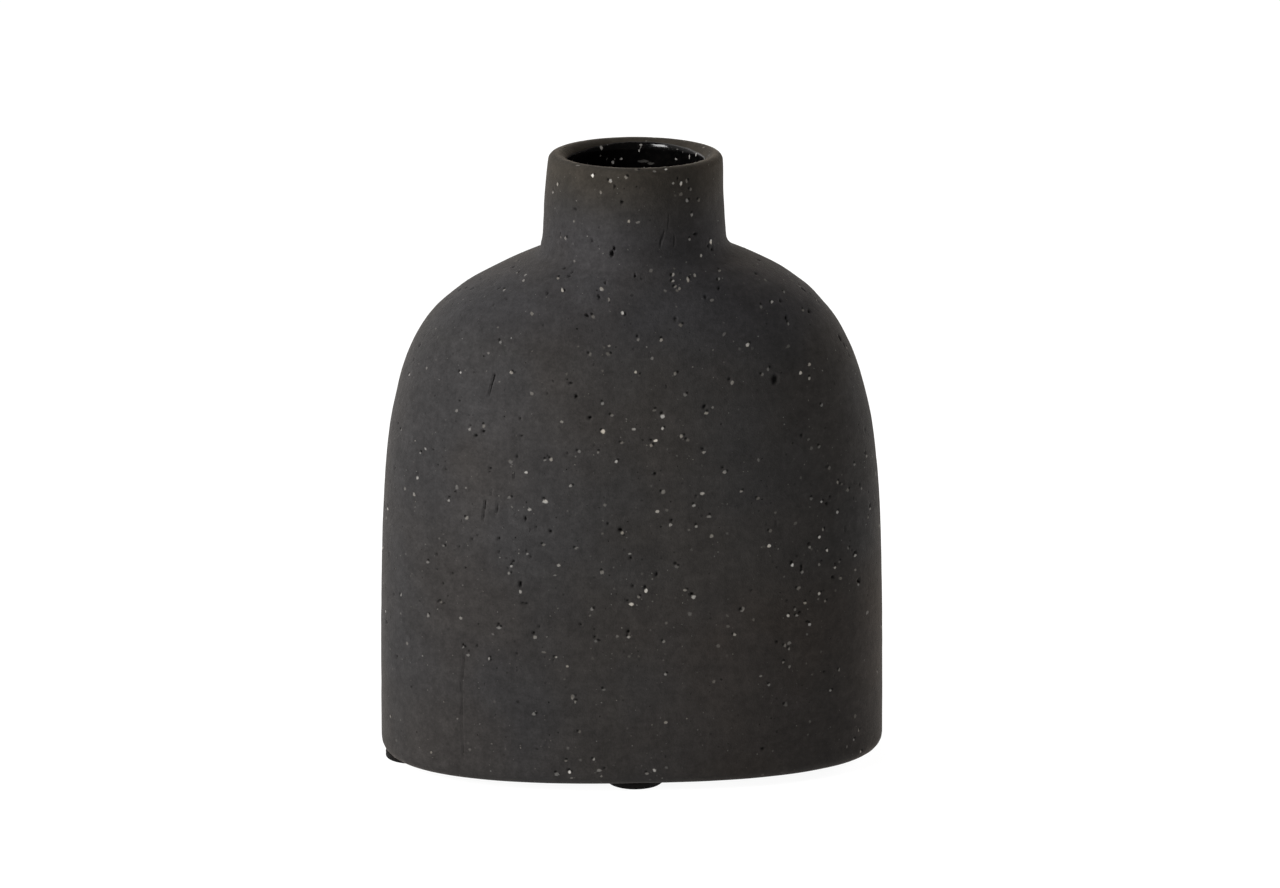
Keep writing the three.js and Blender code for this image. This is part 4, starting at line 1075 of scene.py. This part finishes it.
def adhesive_material():
    n = Nodes("adhesive_film")
    mm = n.mm()
    cloud = n.noise(mm, 0.6, 4.0, 0.6)
    streak = n.noise(n.vec("MULTIPLY", mm, (0.15, 1.6, 0.4)), 1.0, 2.0, 0.5)
    col = n.mix(n.ramp(cloud, 0.3, 0.7), rgb(0.20, 0.19, 0.165), rgb(0.30, 0.285, 0.25))
    col = n.vec("SCALE", col, scale=n.ramp(streak, 0.3, 0.7, 0.88, 1.1))
    n.put(n.bsdf.inputs["Base Color"], col)
    n.put(n.bsdf.inputs["Roughness"], n.ramp(cloud, 0.3, 0.7, 0.32, 0.55))
    bump = n.new("ShaderNodeBump")
    bump.inputs["Strength"].default_value = 0.3
    bump.inputs["Distance"].default_value = 0.0001
    n.put(bump.inputs["Height"], streak)
    n.put(n.bsdf.inputs["Normal"], bump.outputs[0])
    return n.m


CLAY, GLAZE, PAD, FILM = clay_material(), glaze_material(), pad_material(), adhesive_material()


def dress(ob, mat):
    ob.data.materials.clear()
    ob.data.materials.append(mat)


for ob, mat, node, slot in [(body, CLAY, "stoneware_body", "clay"), (glaze, GLAZE, "glaze_lining", "glaze")] + \
        [(pads[k], PAD, "foot_pad_" + k, "pad") for k in PADS]:
    dress(ob, mat)
    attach(ob, "root")
    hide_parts(node)
for k in PADS:
    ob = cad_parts["pad_adhesive_" + k]
    for sl in ob.material_slots:
        sl.material = FILM
    if not ob.material_slots:
        ob.data.materials.append(FILM)

# ------------------------------------------------------------------ floor, light, camera
def stage_floor():
    n = Nodes("pale_floor")
    n.bsdf.inputs["Base Color"].default_value = rgb(0.12, 0.12, 0.12)
    n.bsdf.inputs["Roughness"].default_value = 0.9
    n.bsdf.inputs["Specular IOR Level"].default_value = 0.1
    n.bsdf.inputs["Emission Color"].default_value = rgb(1, 1, 1)
    n.bsdf.inputs["Emission Strength"].default_value = 0.94
    verts = [(math.cos(t) * 6000, math.sin(t) * 6000, 0.0) for t in np.linspace(0, 2 * math.pi, 96, endpoint=False)]
    ob = new_object("floor", verts, [tuple(range(96))], smooth=False)
    dress(ob, n.m)


stage_floor()


def stage_backdrop():
    """A plain pale wall round the floor for low views. It takes no part in the lighting."""
    n = Nodes("pale_backdrop")
    n.bsdf.inputs["Base Color"].default_value = rgb(0.0, 0.0, 0.0)
    n.bsdf.inputs["Roughness"].default_value = 1.0
    n.bsdf.inputs["Specular IOR Level"].default_value = 0.0
    n.bsdf.inputs["Emission Color"].default_value = rgb(1, 1, 1)
    n.bsdf.inputs["Emission Strength"].default_value = 1.0
    ring = [(math.cos(t) * 5900, math.sin(t) * 5900) for t in np.linspace(0, 2 * math.pi, 96, endpoint=False)]
    verts = [(x, y, -2.0) for x, y in ring] + [(x, y, 7000.0) for x, y in ring]
    ob = new_object("backdrop", verts, [(i, (i + 1) % 96, 96 + (i + 1) % 96, 96 + i) for i in range(96)])
    dress(ob, n.m)
    ob.visible_diffuse = ob.visible_glossy = ob.visible_transmission = ob.visible_volume_scatter = ob.visible_shadow = False


stage_backdrop()


def studio_world(even, lobes, colour):
    """Soft surround: dim in front, brighter behind the vase. Lobes: (direction, start, full, strength, low or not)."""
    world = bpy.data.worlds.new("studio")
    bpy.context.scene.world = world
    world.use_nodes = True
    t = world.node_tree
    bg = t.nodes["Background"]
    bg.inputs[0].default_value = colour + (1.0,)
    tc = t.nodes.new("ShaderNodeTexCoord")
    sep = t.nodes.new("ShaderNodeSeparateXYZ")
    t.links.new(tc.outputs["Generated"], sep.inputs[0])

    def rise(socket, lo, hi, amount):
        m = t.nodes.new("ShaderNodeMapRange")
        m.interpolation_type = "SMOOTHSTEP"
        t.links.new(socket, m.inputs[0])
        for i, v in enumerate((lo, hi, 0.0, amount)):
            m.inputs[i + 1].default_value = v
        return m.outputs[0]

    def join(op, a, b):
        m = t.nodes.new("ShaderNodeMath")
        m.operation = op
        for i, v in enumerate((a, b)):
            if isinstance(v, float):
                m.inputs[i].default_value = v
            else:
                t.links.new(v, m.inputs[i])
        return m.outputs[0]
    total = even
    for direction, start, full, strength, low in lobes:
        dot = t.nodes.new("ShaderNodeVectorMath")
        dot.operation = "DOT_PRODUCT"
        t.links.new(tc.outputs["Generated"], dot.inputs[0])
        dot.inputs[1].default_value = Vector(direction).normalized()
        part = rise(dot.outputs["Value"], start, full, strength)
        if low:
            part = join("MULTIPLY", part, rise(sep.outputs[2], 0.55, 0.05, 1.0))
        total = join("ADD", total, part)
    t.links.new(total, bg.inputs[1])


WARM = (1.0, 0.982, 0.958)
studio_world(0.03, [
    ((-0.35, 0.75, 0.55), 0.70, 0.98, 2.10, False),
    ((-0.75, 0.25, 0.62), 0.75, 0.98, 0.45, False),
], WARM)


def area(name, loc, target, size, power, colour=(1, 1, 1)):
    li = bpy.data.lights.new(name, "AREA")
    li.shape = "RECTANGLE"
    li.size, li.size_y = size
    li.energy = power
    li.color = colour
    ob = bpy.data.objects.new(name, li)
    bpy.context.scene.collection.objects.link(ob)
    ob.location = loc
    ob.rotation_euler = (Vector(target) - Vector(loc)).to_track_quat("-Z", "Y").to_euler()
    return ob


key = area("key_left", (-0.5028, -0.2787, 0.3123), (0, 0, 0.08), (0.34, 0.38), 7.3, WARM)
key.visible_glossy = False
softbox = area("softbox_left_front", (-0.8155, -0.6545, 1.0467), (0.015, 0.018, 0.15), (0.38, 0.52), 7.6)
panel = area("panel_right_back", (1.42, 0.80, 0.36), (0, 0, 0.07), (1.0, 0.8), 54.0, WARM)
panel.visible_glossy = False
for ob in (key, softbox, panel):
    ob.visible_camera = False

cam = bpy.data.cameras.new("camera")
cam.sensor_fit = "HORIZONTAL"
cam.sensor_width = 36.0
cam.lens = 122.02
cam.clip_start, cam.clip_end = 0.05, 30.0
cob = bpy.data.objects.new("camera", cam)
bpy.context.scene.collection.objects.link(cob)
cob.location = (-0.05312, -1.04866, 0.3652)
cob.rotation_euler = (math.radians(90 - 15.167), 0.0, math.radians(-3.012))
bpy.context.scene.camera = cob
bpy.context.scene.view_settings.view_transform = "Standard"

print("clay triangles", sum(len(p.vertices) - 2 for p in body.data.polygons), "fine cells", len(fine), "grains", len(G_ALL), "pits", len(P_ALL))
